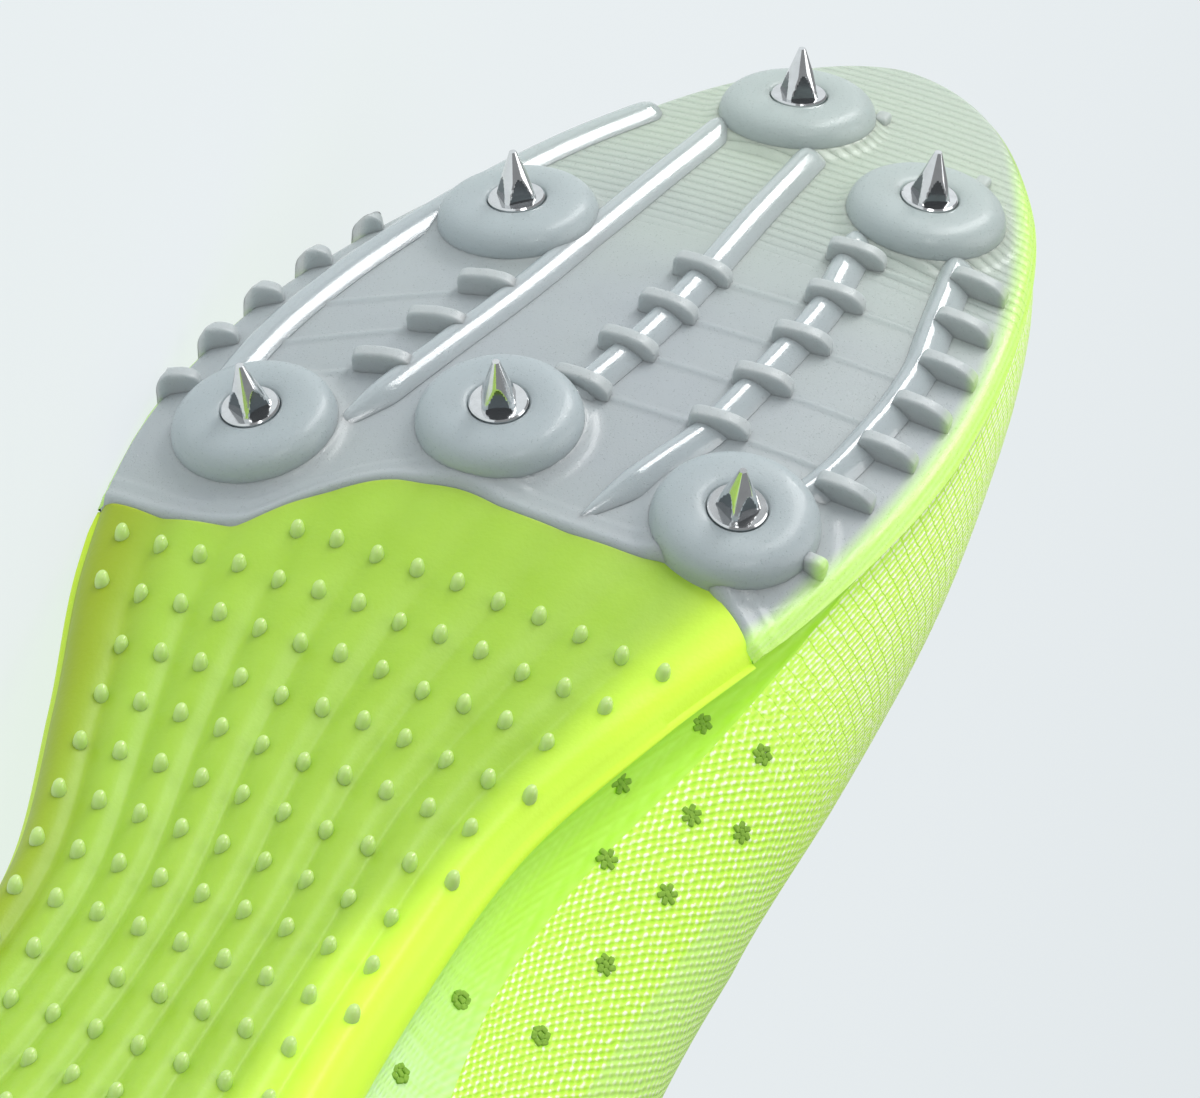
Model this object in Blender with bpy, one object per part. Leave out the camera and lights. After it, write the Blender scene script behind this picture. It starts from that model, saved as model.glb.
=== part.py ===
"""Right track spike shoe, empty, lying on its outer side with the toe towards -X.

Every piece is worked out in the shoe's own frame first: x runs from the heel back
to the toe tip, y towards the inner (medial) side, z up from the ball of the sole.
finish() then turns each piece over onto the shoe's outer (lateral) side.
Lengths are in metres.
"""

import math
from collections import namedtuple

import bmesh
import bpy
from mathutils import Matrix, Vector

# Driving sizes of the last and the sole
SHOE_LENGTH = 0.284
BALL_WIDTH = 0.094
INSTEP_HEIGHT = 0.080
TOE_SPRING = 0.0115
ARCH_RISE = 0.0095
EDGE_RISE = 0.0050
PLATE_THICKNESS = 0.0022
PLATE_EDGE = 0.0015
HEEL_STACK = 0.0135
HEEL_EDGE = 0.0120
CLEARANCE = 0.0003

# Upper, tongue, insole and laces
UPPER_WALL = 0.0014
COLLAR_WALL = 0.0036
FEATHER_INSET = 0.0008
FEATHER_LIFT = 0.0005
SECTION_FULLNESS = 0.85
BULGE_LOW = 0.22
THROAT_HALF_GAP = 0.0135
INSOLE_THICKNESS = 0.0030
INSOLE_INSET = 0.0030
TONGUE_THICKNESS = 0.0026
TONGUE_HALF_WIDTH = 0.0225
TONGUE_TOE_HALF_WIDTH = 0.0170
TONGUE_CORNER = 0.0050
TONGUE_GAP = 0.0012
EYESTAY_WIDTH = 0.0125
EYESTAY_THICKNESS = 0.0008
EYESTAY_EDGE = 0.0010
LACE_WIDTH = 0.0060
LACE_THICKNESS = 0.0012
LACE_LIFT = 0.0008
LACE_ROWS = 6
LACE_INSET = 0.0055

# Grey forefoot plate: receptacle domes, ribs and lugs
DOME_RADIUS = 0.0103
DOME_HEIGHT = 0.0040
DOME_FACE_RADIUS = 0.0070
RECESS_DEPTH = 0.0010
RIB_HALF_WIDTH = 0.0019
RIB_HEIGHT = 0.0016
LUG_LENGTH = 0.0068
LUG_WIDTH = 0.0027
LUG_HEIGHT = 0.0030
RELIEF_ROOT = 0.0009
OUTLINE_DEPTH = 0.0100

# Chrome spikes
SPIKE_LENGTH = 0.00635
SPIKE_BASE_RADIUS = 0.0029
FLAT_HALF_WIDTH = 0.0023
SPIKE_TIP_RADIUS = 0.00045
FLANGE_RADIUS = 0.00365
FLANGE_THICKNESS = 0.0007
STUD_RADIUS = 0.0023
STUD_LENGTH = 0.0032

# Green rear sole
FLUTE_COUNT = 9
FLUTE_DEPTH = 0.0012
SIDE_WALL_SWELL = 0.0008

# How the shoe lies: swing of its heel down onto the floor, and how deep what touches
# the floor is pressed flat
LIE_SWING = math.radians(4.9)
FLOOR_FLAT = 0.0007

LATERAL = -1
MEDIAL = 1

# Where the pieces begin and end, in rows of the tables below
THROAT_TOP = 7.0
THROAT_FRONT = 10.55
COLLAR_FRONT = 6.0
PADDING_FADE_START = 6.6
PADDING_FADE_END = 8.0
EYESTAY_TURN_ROW = 9.6
EYESTAY_EDGE_ROWS = 0.1
EYESTAY_TOE_ROWS = 0.55
LACE_TOP_ROW = 7.25
LACE_FRONT_ROW = 9.95
LACE_ROW_LENGTH = 0.0235
FLUTE_START_ROW = 1.5
FLUTE_FADE_ROWS = 2.0
SEAM_ROW_GUESS = 9.0

# Height shares of the collar's cut between which the wall grows to its padded thickness
PADDING_LOW = 0.45
PADDING_HIGH = 0.80

# How finely the pieces are faceted, and the steps that directions are worked out over
WELD = 0.00002
ROW_STEP = 0.02
TREAD_STEP = 0.001
RIB_SHARE_STEP = 0.02
UPPER_STATIONS = (
    0, 0.5, 1, 1.5, 2, 2.5, 3, 3.5, 4, 4.5, 5, 5.5, 6, 6.33, 6.66, 7, 7.5, 8, 8.5, 9,
    9.5, 10, 10.3, 10.48, 10.55, 11, 11.5, 12, 13, 14, 15, 16, 17,
)
WALL_STEPS = (0.0, 0.05, 0.12, 0.22, 0.35, 0.5, 0.66, 0.83, 1.0)
TONGUE_STATIONS = (11.2, 10.6, 10.0, 9.4, 8.8, 8.2, 7.6, 7.1, 6.7, 6.35, 6.0, 5.75, 5.6)
TONGUE_STEPS = 10
EYESTAY_STEPS = 4
EYESTAY_SIDE_STEPS = 5
EYESTAY_TURN_STEPS = 4
LACE_STEPS = 6
INSOLE_STATIONS = (0, 0.5, 1, 1.5, 2, 3, 4, 5, 6, 7, 8, 8.6, 9, 9.6, 10.3, 11, 12, 13, 14, 15, 16, 17)
INSOLE_STEPS = 4
FLUTE_STEPS = 3
REAR_STATIONS = (0, 0.5, 1, 1.5, 2, 3, 4, 5, 6, 7, 8)
PLATE_STATIONS = (9.6, 10.3, 11, 12, 13, 14, 15, 16, 16.5, 17)
PLATE_STEPS = 18
PLATE_BLENDS = (0.0, 0.35, 0.7)
DOME_SHOULDER_STEPS = 3
DOME_SEGMENTS = 16
BORE_SEGMENTS = 16
RIB_STEPS = 10
RIB_SIDES = 4
RIB_END_SHARE = 0.5
LUG_SHOULDER = 0.65
LUG_ROUND = 0.55
SPIKE_SEGMENTS = 12
SPIKE_CORNER_TURN = math.radians(15.0)
SPIKE_FLAT_SHARE = 0.62

# One row for each section from heel back to toe tip. along is a share of SHOE_LENGTH,
# lateral and medial of BALL_WIDTH, spring of TOE_SPRING, arch of ARCH_RISE,
# stack of the heel's extra thickness over the plate's.
SoleRow = namedtuple("SoleRow", "along lateral medial spring arch stack")
SOLE_ROWS = (
    SoleRow(0.000, -0.055, -0.055, 0.00, 0.80, 1.00),
    SoleRow(0.015, -0.235, 0.140, 0.00, 0.60, 1.00),
    SoleRow(0.050, -0.335, 0.240, 0.00, 0.46, 1.00),
    SoleRow(0.110, -0.380, 0.265, 0.00, 0.44, 1.00),
    SoleRow(0.200, -0.360, 0.230, 0.00, 0.68, 0.86),
    SoleRow(0.280, -0.330, 0.195, 0.00, 0.92, 0.64),
    SoleRow(0.365, -0.340, 0.190, 0.00, 1.00, 0.42),
    SoleRow(0.450, -0.415, 0.215, 0.00, 0.85, 0.24),
    SoleRow(0.530, -0.495, 0.300, 0.00, 0.55, 0.10),
    SoleRow(0.605, -0.530, 0.400, 0.00, 0.20, 0.02),
    SoleRow(0.685, -0.500, 0.465, 0.00, 0.02, 0.00),
    SoleRow(0.755, -0.430, 0.475, 0.06, 0.00, 0.00),
    SoleRow(0.825, -0.330, 0.450, 0.19, 0.00, 0.00),
    SoleRow(0.885, -0.235, 0.400, 0.40, 0.00, 0.00),
    SoleRow(0.935, -0.150, 0.325, 0.63, 0.00, 0.00),
    SoleRow(0.970, -0.070, 0.250, 0.82, 0.00, 0.00),
    SoleRow(0.992, 0.005, 0.170, 0.95, 0.00, 0.00),
    SoleRow(1.000, 0.085, 0.085, 1.00, 0.00, 0.00),
)
LAST_ROW = len(SOLE_ROWS) - 1

# The upper over each sole row. The crest is the centre line of vamp and instep, carried
# on up the leg behind the throat; the collar is cut at the cut height. along is a share
# of SHOE_LENGTH, height and cut of INSTEP_HEIGHT, crest and the bulges of BALL_WIDTH.
UpperRow = namedtuple("UpperRow", "along crest height cut lateral_bulge medial_bulge")
UPPER_ROWS = (
    UpperRow(0.140, -0.055, 1.35, 0.86, 0.048, 0.048),
    UpperRow(0.145, -0.055, 1.35, 0.85, 0.048, 0.048),
    UpperRow(0.155, -0.055, 1.34, 0.81, 0.048, 0.052),
    UpperRow(0.185, -0.055, 1.31, 0.74, 0.050, 0.070),
    UpperRow(0.233, -0.050, 1.29, 0.70, 0.056, 0.115),
    UpperRow(0.296, -0.040, 1.25, 0.74, 0.070, 0.175),
    UpperRow(0.360, -0.020, 1.17, 0.84, 0.072, 0.220),
    UpperRow(0.430, 0.000, 1.05, 1.00, 0.056, 0.225),
    UpperRow(0.515, 0.010, 0.92, 1.00, 0.036, 0.170),
    UpperRow(0.600, 0.020, 0.79, 1.00, 0.024, 0.100),
    UpperRow(0.683, 0.030, 0.670, 1.00, 0.020, 0.050),
    UpperRow(0.748, 0.042, 0.590, 1.00, 0.020, 0.026),
    UpperRow(0.810, 0.055, 0.520, 1.00, 0.020, 0.020),
    UpperRow(0.860, 0.065, 0.465, 1.00, 0.020, 0.020),
    UpperRow(0.900, 0.073, 0.415, 1.00, 0.020, 0.020),
    UpperRow(0.928, 0.079, 0.370, 1.00, 0.020, 0.020),
    UpperRow(0.945, 0.083, 0.335, 1.00, 0.020, 0.020),
    UpperRow(0.952, 0.085, 0.320, 1.00, 0.020, 0.020),
)

# Rear edge of the plate: across is a share of BALL_WIDTH, along of SHOE_LENGTH
SeamPoint = namedtuple("SeamPoint", "across along")
SEAM = (
    SeamPoint(-0.60, 0.562),
    SeamPoint(-0.51, 0.560),
    SeamPoint(-0.42, 0.556),
    SeamPoint(-0.32, 0.559),
    SeamPoint(-0.26, 0.578),
    SeamPoint(-0.20, 0.594),
    SeamPoint(-0.15, 0.602),
    SeamPoint(-0.07, 0.605),
    SeamPoint(0.03, 0.601),
    SeamPoint(0.16, 0.600),
    SeamPoint(0.24, 0.602),
    SeamPoint(0.30, 0.594),
    SeamPoint(0.36, 0.577),
    SeamPoint(0.45, 0.545),
)

# Spikes, named by place: along is a share of SHOE_LENGTH, across of BALL_WIDTH
SpikeSeat = namedtuple("SpikeSeat", "name along across flat_turn")
SPIKE_SEATS = (
    SpikeSeat("spike_toe_lateral", 0.922, 0.012, 36.0),
    SpikeSeat("spike_toe_medial", 0.864, 0.266, 38.0),
    SpikeSeat("spike_side_lateral", 0.785, -0.228, 43.0),
    SpikeSeat("spike_ball_lateral", 0.613, -0.370, 62.0),
    SpikeSeat("spike_ball_centre", 0.646, -0.070, 25.0),
    SpikeSeat("spike_ball_medial", 0.632, 0.271, 59.0),
)

# Ribs run lengthways: each point's along is a share of SHOE_LENGTH, across of BALL_WIDTH
RIBS = {
    "edge": ((0.604, -0.456), (0.663, -0.447), (0.719, -0.412), (0.767, -0.369),
             (0.820, -0.308), (0.868, -0.245), (0.908, -0.180)),
    "outer": ((0.618, -0.276), (0.680, -0.210), (0.729, -0.165), (0.793, -0.125),
              (0.854, -0.095), (0.905, -0.075)),
    "middle": ((0.607, -0.082), (0.670, -0.012), (0.723, 0.029), (0.772, 0.047),
               (0.818, 0.055), (0.865, 0.062), (0.895, 0.065)),
    "inner": ((0.608, 0.087), (0.653, 0.144), (0.680, 0.176), (0.719, 0.197),
              (0.771, 0.215), (0.801, 0.210), (0.837, 0.200)),
    "medial": ((0.613, 0.246), (0.667, 0.332), (0.715, 0.363), (0.756, 0.370),
               (0.781, 0.361), (0.819, 0.346), (0.843, 0.336)),
}

# Rows of lugs, each on a rib or beside it: the first lug's along and the pitch are
# shares of SHOE_LENGTH, beside of BALL_WIDTH, and turn is in degrees
LugRow = namedtuple("LugRow", "rib first pitch count beside turn")
LUG_ROWS = (
    LugRow("edge", 0.631, 0.0326, 5, -0.065, 24.0),
    LugRow("outer", 0.664, 0.0325, 3, -0.032, 12.0),
    LugRow("middle", 0.679, 0.0316, 4, 0.005, 0.0),
    LugRow("inner", 0.680, 0.0341, 5, 0.015, 8.0),
    LugRow("medial", 0.638, 0.0309, 7, 0.042, 2.0),
)


def catmull(a, b, c, d, share):
    """Smooth value between b and c."""
    return 0.5 * (
        2 * b
        + (c - a) * share
        + (2 * a - 5 * b + 4 * c - d) * share**2
        + (3 * b - a - 3 * c + d) * share**3
    )


def swapped(name):
    """The same column on the other side of the shoe."""
    if name.startswith("lateral"):
        return name.replace("lateral", "medial")
    return name.replace("medial", "lateral")


def cell(rows, index, name):
    """A table's value, read on round the heel or the toe onto the other side."""
    if index < 0:
        return getattr(rows[-index], swapped(name))
    if index > LAST_ROW:
        return getattr(rows[2 * LAST_ROW - index], swapped(name))
    return getattr(rows[index], name)


def read(rows, name, row):
    """A column of a section table at any place between its rows."""
    index = min(int(math.floor(row)), LAST_ROW - 1)
    values = [cell(rows, index + step, name) for step in (-1, 0, 1, 2)]
    return catmull(*values, row - index)


def folded(row, side):
    """Row and side, carried on round the heel or the toe."""
    if row < 0:
        return -row, -side
    if row > LAST_ROW:
        return 2 * LAST_ROW - row, -side
    return row, side


def row_at(along):
    """The row whose section lies at this distance from the heel."""
    low, high = 0.0, float(LAST_ROW)
    for _ in range(40):
        middle = (low + high) / 2
        if read(SOLE_ROWS, "along", middle) * SHOE_LENGTH < along:
            low = middle
        else:
            high = middle
    return (low + high) / 2


def half_name(side):
    """Start of the column names of a side."""
    return "lateral" if side < 0 else "medial"


def edge_xy(row, side):
    """The sole's outline."""
    row, side = folded(row, side)
    return Vector((
        read(SOLE_ROWS, "along", row) * SHOE_LENGTH,
        read(SOLE_ROWS, half_name(side), row) * BALL_WIDTH,
    ))


def outward(row, side):
    """Level direction out of the sole's edge."""
    tangent = edge_xy(row + ROW_STEP, side) - edge_xy(row - ROW_STEP, side)
    tangent.normalize()
    return Vector((tangent.y, -tangent.x, 0.0)) * -side


def width_share(row):
    """Width of the sole's section as a share of the ball's, nothing at heel and toe tip."""
    lateral = read(SOLE_ROWS, "lateral", row)
    return max(read(SOLE_ROWS, "medial", row) - lateral, 0.0)


def underside(row, share):
    """The sole's lower face; share runs from -1 at the lateral edge to 1 at the medial."""
    lateral = edge_xy(row, LATERAL)
    medial = edge_xy(row, MEDIAL)
    place = lateral.lerp(medial, (share + 1) / 2)
    rise = read(SOLE_ROWS, "spring", row) * TOE_SPRING + read(SOLE_ROWS, "arch", row) * ARCH_RISE
    return Vector((place.x, place.y, rise + EDGE_RISE * (width_share(row) * share) ** 2))


def topside(row, share):
    """The sole's upper face, where the insole and the upper sit."""
    stack = read(SOLE_ROWS, "stack", row)
    centre = PLATE_THICKNESS + stack * (HEEL_STACK - PLATE_THICKNESS)
    edge = PLATE_EDGE + stack * (HEEL_EDGE - PLATE_EDGE)
    point = underside(row, share)
    crown = (1 - share**2) * min(2 * width_share(row), 1.0)
    point.z += edge + (centre - edge) * crown
    return point


def crest(row):
    """Centre line of the vamp, the instep and the leg."""
    row, _ = folded(row, LATERAL)
    return Vector((
        read(UPPER_ROWS, "along", row) * SHOE_LENGTH,
        read(UPPER_ROWS, "crest", row) * BALL_WIDTH,
        read(UPPER_ROWS, "height", row) * INSTEP_HEIGHT,
    ))


def foot_point(row, side):
    """Where the upper's outer face meets the sole."""
    foot = topside(*folded(row, side)) - outward(row, side) * FEATHER_INSET
    foot.z += FEATHER_LIFT
    return foot


def skin_point(row, side, height):
    """The upper's outer face: height runs from 0 at the sole to 1 at the crest,
    and on to 2 at the sole on the other side."""
    if height > 1:
        side, height = -side, 2 - height
    foot = foot_point(row, side)
    reach = crest(row) - foot
    angle = height * math.pi / 2
    inward = 1 - max(math.cos(angle), 0.0) ** SECTION_FULLNESS
    upward = math.sin(angle) ** SECTION_FULLNESS
    point = foot + Vector((reach.x * inward, reach.y * inward, reach.z * upward))
    real_row, real_side = folded(row, side)
    bulge = read(UPPER_ROWS, half_name(real_side) + "_bulge", real_row) * BALL_WIDTH
    low = height / BULGE_LOW
    return point + outward(row, side) * (bulge * low * math.exp(1 - low) * (1 - height**3))


def skin(row, side, height, lift=0.0):
    """The upper's outer face moved out along its own normal."""
    point = skin_point(row, side, height)
    if lift == 0.0:
        return point
    ahead, behind = row + ROW_STEP, row - ROW_STEP
    forward = skin_point(ahead, side, height) - skin_point(behind, side, height)
    low = max(height - ROW_STEP, 0.0)
    upward = skin_point(row, side, height + ROW_STEP) - skin_point(row, side, low)
    return point + forward.cross(upward).normalized() * (lift * -side)


def height_at(row, side, distance):
    """Height share at which the skin is this far from its crest, measured level."""
    peak = crest(row)
    low, high = BULGE_LOW, 1.0
    for _ in range(24):
        middle = (low + high) / 2
        if (skin_point(row, side, middle) - peak).to_2d().length > distance:
            low = middle
        else:
            high = middle
    return (low + high) / 2


def throat_gap(row):
    """Half the throat's width, round at its toe end."""
    share = (row - THROAT_TOP) / (THROAT_FRONT - THROAT_TOP)
    return THROAT_HALF_GAP * math.sqrt(max(1 - share**3, 0.0))


def cut_height(row, side):
    """Height share at which the upper ends: the collar, the throat or the crest."""
    if row >= THROAT_FRONT:
        return 1.0
    if row >= THROAT_TOP:
        return height_at(row, side, throat_gap(row))
    collar_row = min(row, COLLAR_FRONT)
    foot = foot_point(collar_row, side)
    rise = read(UPPER_ROWS, "cut", collar_row) * INSTEP_HEIGHT - foot.z
    share = (rise / (crest(collar_row).z - foot.z)) ** (1 / SECTION_FULLNESS)
    collar = math.asin(share) / (math.pi / 2)
    if row <= collar_row:
        return collar
    throat = height_at(THROAT_TOP, side, throat_gap(THROAT_TOP))
    return collar + (throat - collar) * (row - COLLAR_FRONT) / (THROAT_TOP - COLLAR_FRONT)


def eased(low, high, value):
    """0 below low, 1 above high, smooth between."""
    share = min(max((value - low) / (high - low), 0.0), 1.0)
    return share * share * (3 - 2 * share)


def collar_padding(row):
    """1 round the collar, 0 along the throat and the vamp."""
    return 1 - eased(PADDING_FADE_START, PADDING_FADE_END, row)


def wall(row, share):
    """The upper's wall, thicker in the padded collar; share is of the cut height."""
    pad = collar_padding(row) * eased(PADDING_LOW, PADDING_HIGH, share)
    return UPPER_WALL + (COLLAR_WALL - UPPER_WALL) * pad


def place_on_sole(along, across):
    """Row and share of a place given from the heel and the centre line."""
    row = row_at(along)
    lateral = edge_xy(row, LATERAL).y
    medial = edge_xy(row, MEDIAL).y
    return row, (2 * across - lateral - medial) / max(medial - lateral, WELD)


def tread(along, across):
    """Point of the underside and the direction out of it."""
    point = underside(*place_on_sole(along, across))
    ahead = underside(*place_on_sole(along + TREAD_STEP, across)) - point
    beside = underside(*place_on_sole(along, across + TREAD_STEP)) - point
    return point, beside.cross(ahead).normalized()


def seam_along(across):
    """Distance from the heel of the plate's wavy rear edge."""
    last = len(SEAM) - 2
    share = min(max(across / BALL_WIDTH, SEAM[1].across), SEAM[last].across)
    index = 1
    while index < last - 1 and share > SEAM[index + 1].across:
        index += 1
    before, start, end, after = SEAM[index - 1:index + 3]
    blend = (share - start.across) / (end.across - start.across)
    return catmull(before.along, start.along, end.along, after.along, blend) * SHOE_LENGTH


def seam_row(share, gap=0.0):
    """Row of the plate's rear edge at this share of the sole's width."""
    row = SEAM_ROW_GUESS
    for _ in range(6):
        row = row_at(seam_along(underside(row, share).y) - gap)
    return row


def seam_chord_row(share, gap):
    """The same, along the straight facets of the plate's edge."""
    place = (share + 1) / 2 * PLATE_STEPS
    index = min(int(place), PLATE_STEPS - 1)
    start, end = (seam_row(2 * k / PLATE_STEPS - 1, gap) for k in (index, index + 1))
    return start + (end - start) * (place - index)


def turned_over():
    """Turns the shoe's own frame over onto its lateral side."""
    over = Matrix(((-1, 0, 0), (0, 0, 1), (0, 1, 0))).to_4x4()
    return Matrix.Rotation(LIE_SWING, 4, "Y") @ over


def lie_matrix():
    """The same, set down so that its lowest points are pressed flat on the floor."""
    turn = turned_over()
    heights = []
    for row in UPPER_STATIONS:
        cut = cut_height(row, LATERAL)
        heights += [(turn @ skin(row, LATERAL, share * cut)).z for share in WALL_STEPS]
        heights.append((turn @ underside(row, LATERAL)).z)
    return Matrix.Translation((0, 0, -min(heights) - FLOOR_FLAT)) @ turn


def finish(mesh_name, mesh, material, smooth_angle=40.0):
    """Lays a bmesh down, flattens what would reach below the floor, makes the object."""
    bmesh.ops.remove_doubles(mesh, verts=mesh.verts, dist=WELD)
    bmesh.ops.transform(mesh, matrix=lie_matrix(), verts=mesh.verts)
    for vertex in mesh.verts:
        vertex.co.z = max(vertex.co.z, 0.0)
    bmesh.ops.dissolve_degenerate(mesh, edges=mesh.edges, dist=WELD)
    bmesh.ops.recalc_face_normals(mesh, faces=mesh.faces)
    data = bpy.data.meshes.new(mesh_name)
    mesh.to_mesh(data)
    mesh.free()
    data.shade_smooth()
    data.set_sharp_from_angle(angle=math.radians(smooth_angle))
    data.materials.append(material)
    piece = bpy.data.objects.new(mesh_name, data)
    bpy.context.scene.collection.objects.link(piece)
    return piece


def make_material(name, colour, roughness, metallic=0.0):
    """Plain material of one colour."""
    material = bpy.data.materials.new(name)
    material.use_nodes = True
    shader = material.node_tree.nodes["Principled BSDF"]
    shader.inputs["Base Color"].default_value = (*colour, 1.0)
    shader.inputs["Roughness"].default_value = roughness
    shader.inputs["Metallic"].default_value = metallic
    material.diffuse_color = (*colour, 1.0)
    return material


def add_quads(mesh, grid, closed=False):
    """Joins a grid of points, given row by row, with faces, and closed each row's ends."""
    verts = [[mesh.verts.new(point) for point in line] for line in grid]
    lines = [line + line[:1] if closed else line for line in verts]
    for line, following in zip(lines, lines[1:]):
        for k in range(len(line) - 1):
            mesh.faces.new((line[k], line[k + 1], following[k + 1], following[k]))
    return verts


def barrel(rings):
    """Closed solid through a row of rings."""
    mesh = bmesh.new()
    verts = add_quads(mesh, rings, closed=True)
    mesh.faces.new(verts[0][::-1])
    mesh.faces.new(verts[-1])
    return mesh


def shell(grid_low, grid_high):
    """Closed slab between two grids of the same size."""
    mesh = bmesh.new()
    add_quads(mesh, grid_low)
    add_quads(mesh, grid_high)
    add_quads(mesh, [[line[0] for line in grid_low], [line[0] for line in grid_high]])
    add_quads(mesh, [[line[-1] for line in grid_low], [line[-1] for line in grid_high]])
    add_quads(mesh, [grid_low[0], grid_high[0]])
    add_quads(mesh, [grid_low[-1], grid_high[-1]])
    return mesh


def make_upper(material):
    """One hollow shell round the foot, open at the collar, the throat and the sole."""
    mesh = bmesh.new()
    for side in (LATERAL, MEDIAL):
        outer, inner = [], []
        for row in UPPER_STATIONS:
            cut = cut_height(row, side)
            outer.append([skin(row, side, share * cut) for share in WALL_STEPS])
            inner.append([skin(row, side, share * cut, -wall(row, share)) for share in WALL_STEPS])
        add_quads(mesh, outer)
        add_quads(mesh, inner)
        add_quads(mesh, [[line[0] for line in outer], [line[0] for line in inner]])
        open_rows = [k for k, row in enumerate(UPPER_STATIONS) if row <= THROAT_FRONT]
        add_quads(mesh, [[outer[k][-1] for k in open_rows], [inner[k][-1] for k in open_rows]])
    return finish("upper", mesh, material)


def over_throat(row, offset, lift):
    """Point over the instep, offset level from the crest: minus is lateral."""
    side = LATERAL if offset < 0 else MEDIAL
    return skin(row, side, height_at(row, side, abs(offset)), lift)


def spread(low, high, count):
    """count + 1 values from low to high."""
    return [low + (high - low) * k / count for k in range(count + 1)]


def make_tongue(material):
    """Soft tongue under the throat, carried on up above it."""
    low, high = [], []
    for row in TONGUE_STATIONS:
        narrow = eased(THROAT_TOP, TONGUE_STATIONS[0], row)
        half = TONGUE_HALF_WIDTH + (TONGUE_TOE_HALF_WIDTH - TONGUE_HALF_WIDTH) * narrow
        half -= TONGUE_CORNER * (1 - eased(TONGUE_STATIONS[-1], TONGUE_STATIONS[-3], row))
        depth = UPPER_WALL + (COLLAR_WALL - UPPER_WALL) * collar_padding(row) + TONGUE_GAP
        offsets = spread(-half, half, TONGUE_STEPS)
        high.append([over_throat(row, offset, -depth) for offset in offsets])
        low.append([over_throat(row, offset, -depth - TONGUE_THICKNESS) for offset in offsets])
    return finish("tongue", shell(low, high), material)


def eyestay_lines():
    """Inner and outer end of each line across the overlay, as row and offset."""
    lines = []
    turn = EYESTAY_TURN_ROW
    inner = throat_gap(turn) + EYESTAY_EDGE
    for row in spread(THROAT_TOP + EYESTAY_EDGE_ROWS, turn, EYESTAY_SIDE_STEPS)[:-1]:
        start = throat_gap(row) + EYESTAY_EDGE
        lines.append((row, start, row, start + EYESTAY_WIDTH))
    for bend in spread(math.pi / 2, 0, EYESTAY_TURN_STEPS):
        ahead = THROAT_FRONT + EYESTAY_EDGE_ROWS - turn
        lines.append((
            turn + ahead * math.cos(bend),
            inner * math.sin(bend),
            turn + (ahead + EYESTAY_TOE_ROWS) * math.cos(bend),
            (inner + EYESTAY_WIDTH) * math.sin(bend),
        ))
    mirrored = [(a, -b, c, -d) for a, b, c, d in lines[:-1]]
    return mirrored + lines[::-1]


def make_eyestay(material):
    """Thin overlay round the throat, cut from the upper's own surface."""
    low, high = [], []
    for row_in, offset_in, row_out, offset_out in eyestay_lines():
        places = [
            (row_in + (row_out - row_in) * share, offset_in + (offset_out - offset_in) * share)
            for share in spread(0, 1, EYESTAY_STEPS)
        ]
        low.append([over_throat(row, offset, CLEARANCE) for row, offset in places])
        top = CLEARANCE + EYESTAY_THICKNESS
        high.append([over_throat(row, offset, top) for row, offset in places])
    return finish("eyestay", shell(low, high), material)


def lace_strip(row_from, row_to, offset_from, offset_to):
    """One flat crossing of the lace, from eyelet to eyelet, as a closed mesh."""
    lift = CLEARANCE + EYESTAY_THICKNESS + LACE_LIFT
    ahead = LACE_WIDTH / 2 / LACE_ROW_LENGTH
    grids = ([], [])
    for share in spread(0, 1, LACE_STEPS):
        row = row_from + (row_to - row_from) * share
        offset = offset_from + (offset_to - offset_from) * share
        for grid, height in zip(grids, (lift, lift + LACE_THICKNESS)):
            grid.append([over_throat(row + shift, offset, height) for shift in (-ahead, ahead)])
    return shell(*grids)


def make_laces(material):
    """Every crossing of the lace over the throat, joined into one solid."""
    rows = spread(LACE_TOP_ROW, LACE_FRONT_ROW, LACE_ROWS - 1)
    strips = [(rows[-1], rows[-1], 1)]
    for upper_row, lower_row in zip(rows, rows[1:]):
        strips.append((lower_row, upper_row, 1))
        strips.append((lower_row, upper_row, -1))
    pieces = []
    for number, (row_from, row_to, hand) in enumerate(strips):
        offset_from = -hand * (throat_gap(row_from) + LACE_INSET)
        offset_to = hand * (throat_gap(row_to) + LACE_INSET)
        mesh = lace_strip(row_from, row_to, offset_from, offset_to)
        pieces.append(finish("laces" if number == 0 else f"lace_guide_{number}", mesh, material))
    unite(pieces[0], pieces[1:], "Crossings")
    return pieces[0]


def unite(piece, guides, name, operation="UNION"):
    """Boolean of a piece with a collection of guide objects."""
    group = bpy.data.collections.new(name)
    bpy.context.scene.collection.children.link(group)
    for guide in guides:
        for home in list(guide.users_collection):
            home.objects.unlink(guide)
        group.objects.link(guide)
        guide.hide_render = True
        guide.display_type = "WIRE"
    boolean = piece.modifiers.new(name, "BOOLEAN")
    boolean.operation = operation
    boolean.operand_type = "COLLECTION"
    boolean.collection = group
    boolean.solver = "EXACT"


def make_insole(material):
    """Thin board over the sole, inside the upper's wall."""
    low, high = [], []
    for row in INSOLE_STATIONS:
        ends = []
        for side in (LATERAL, MEDIAL):
            ends.append(edge_xy(row, side) - outward(row, side).to_2d() * INSOLE_INSET)
        line_low, line_high = [], []
        for share in spread(0, 1, INSOLE_STEPS):
            spot = ends[0].lerp(ends[1], share)
            point = topside(*place_on_sole(spot.x, spot.y)) + Vector((0, 0, CLEARANCE))
            line_low.append(point)
            line_high.append(point + Vector((0, 0, INSOLE_THICKNESS)))
        low.append(line_low)
        high.append(line_high)
    return finish("insole", shell(low, high), material)


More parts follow.
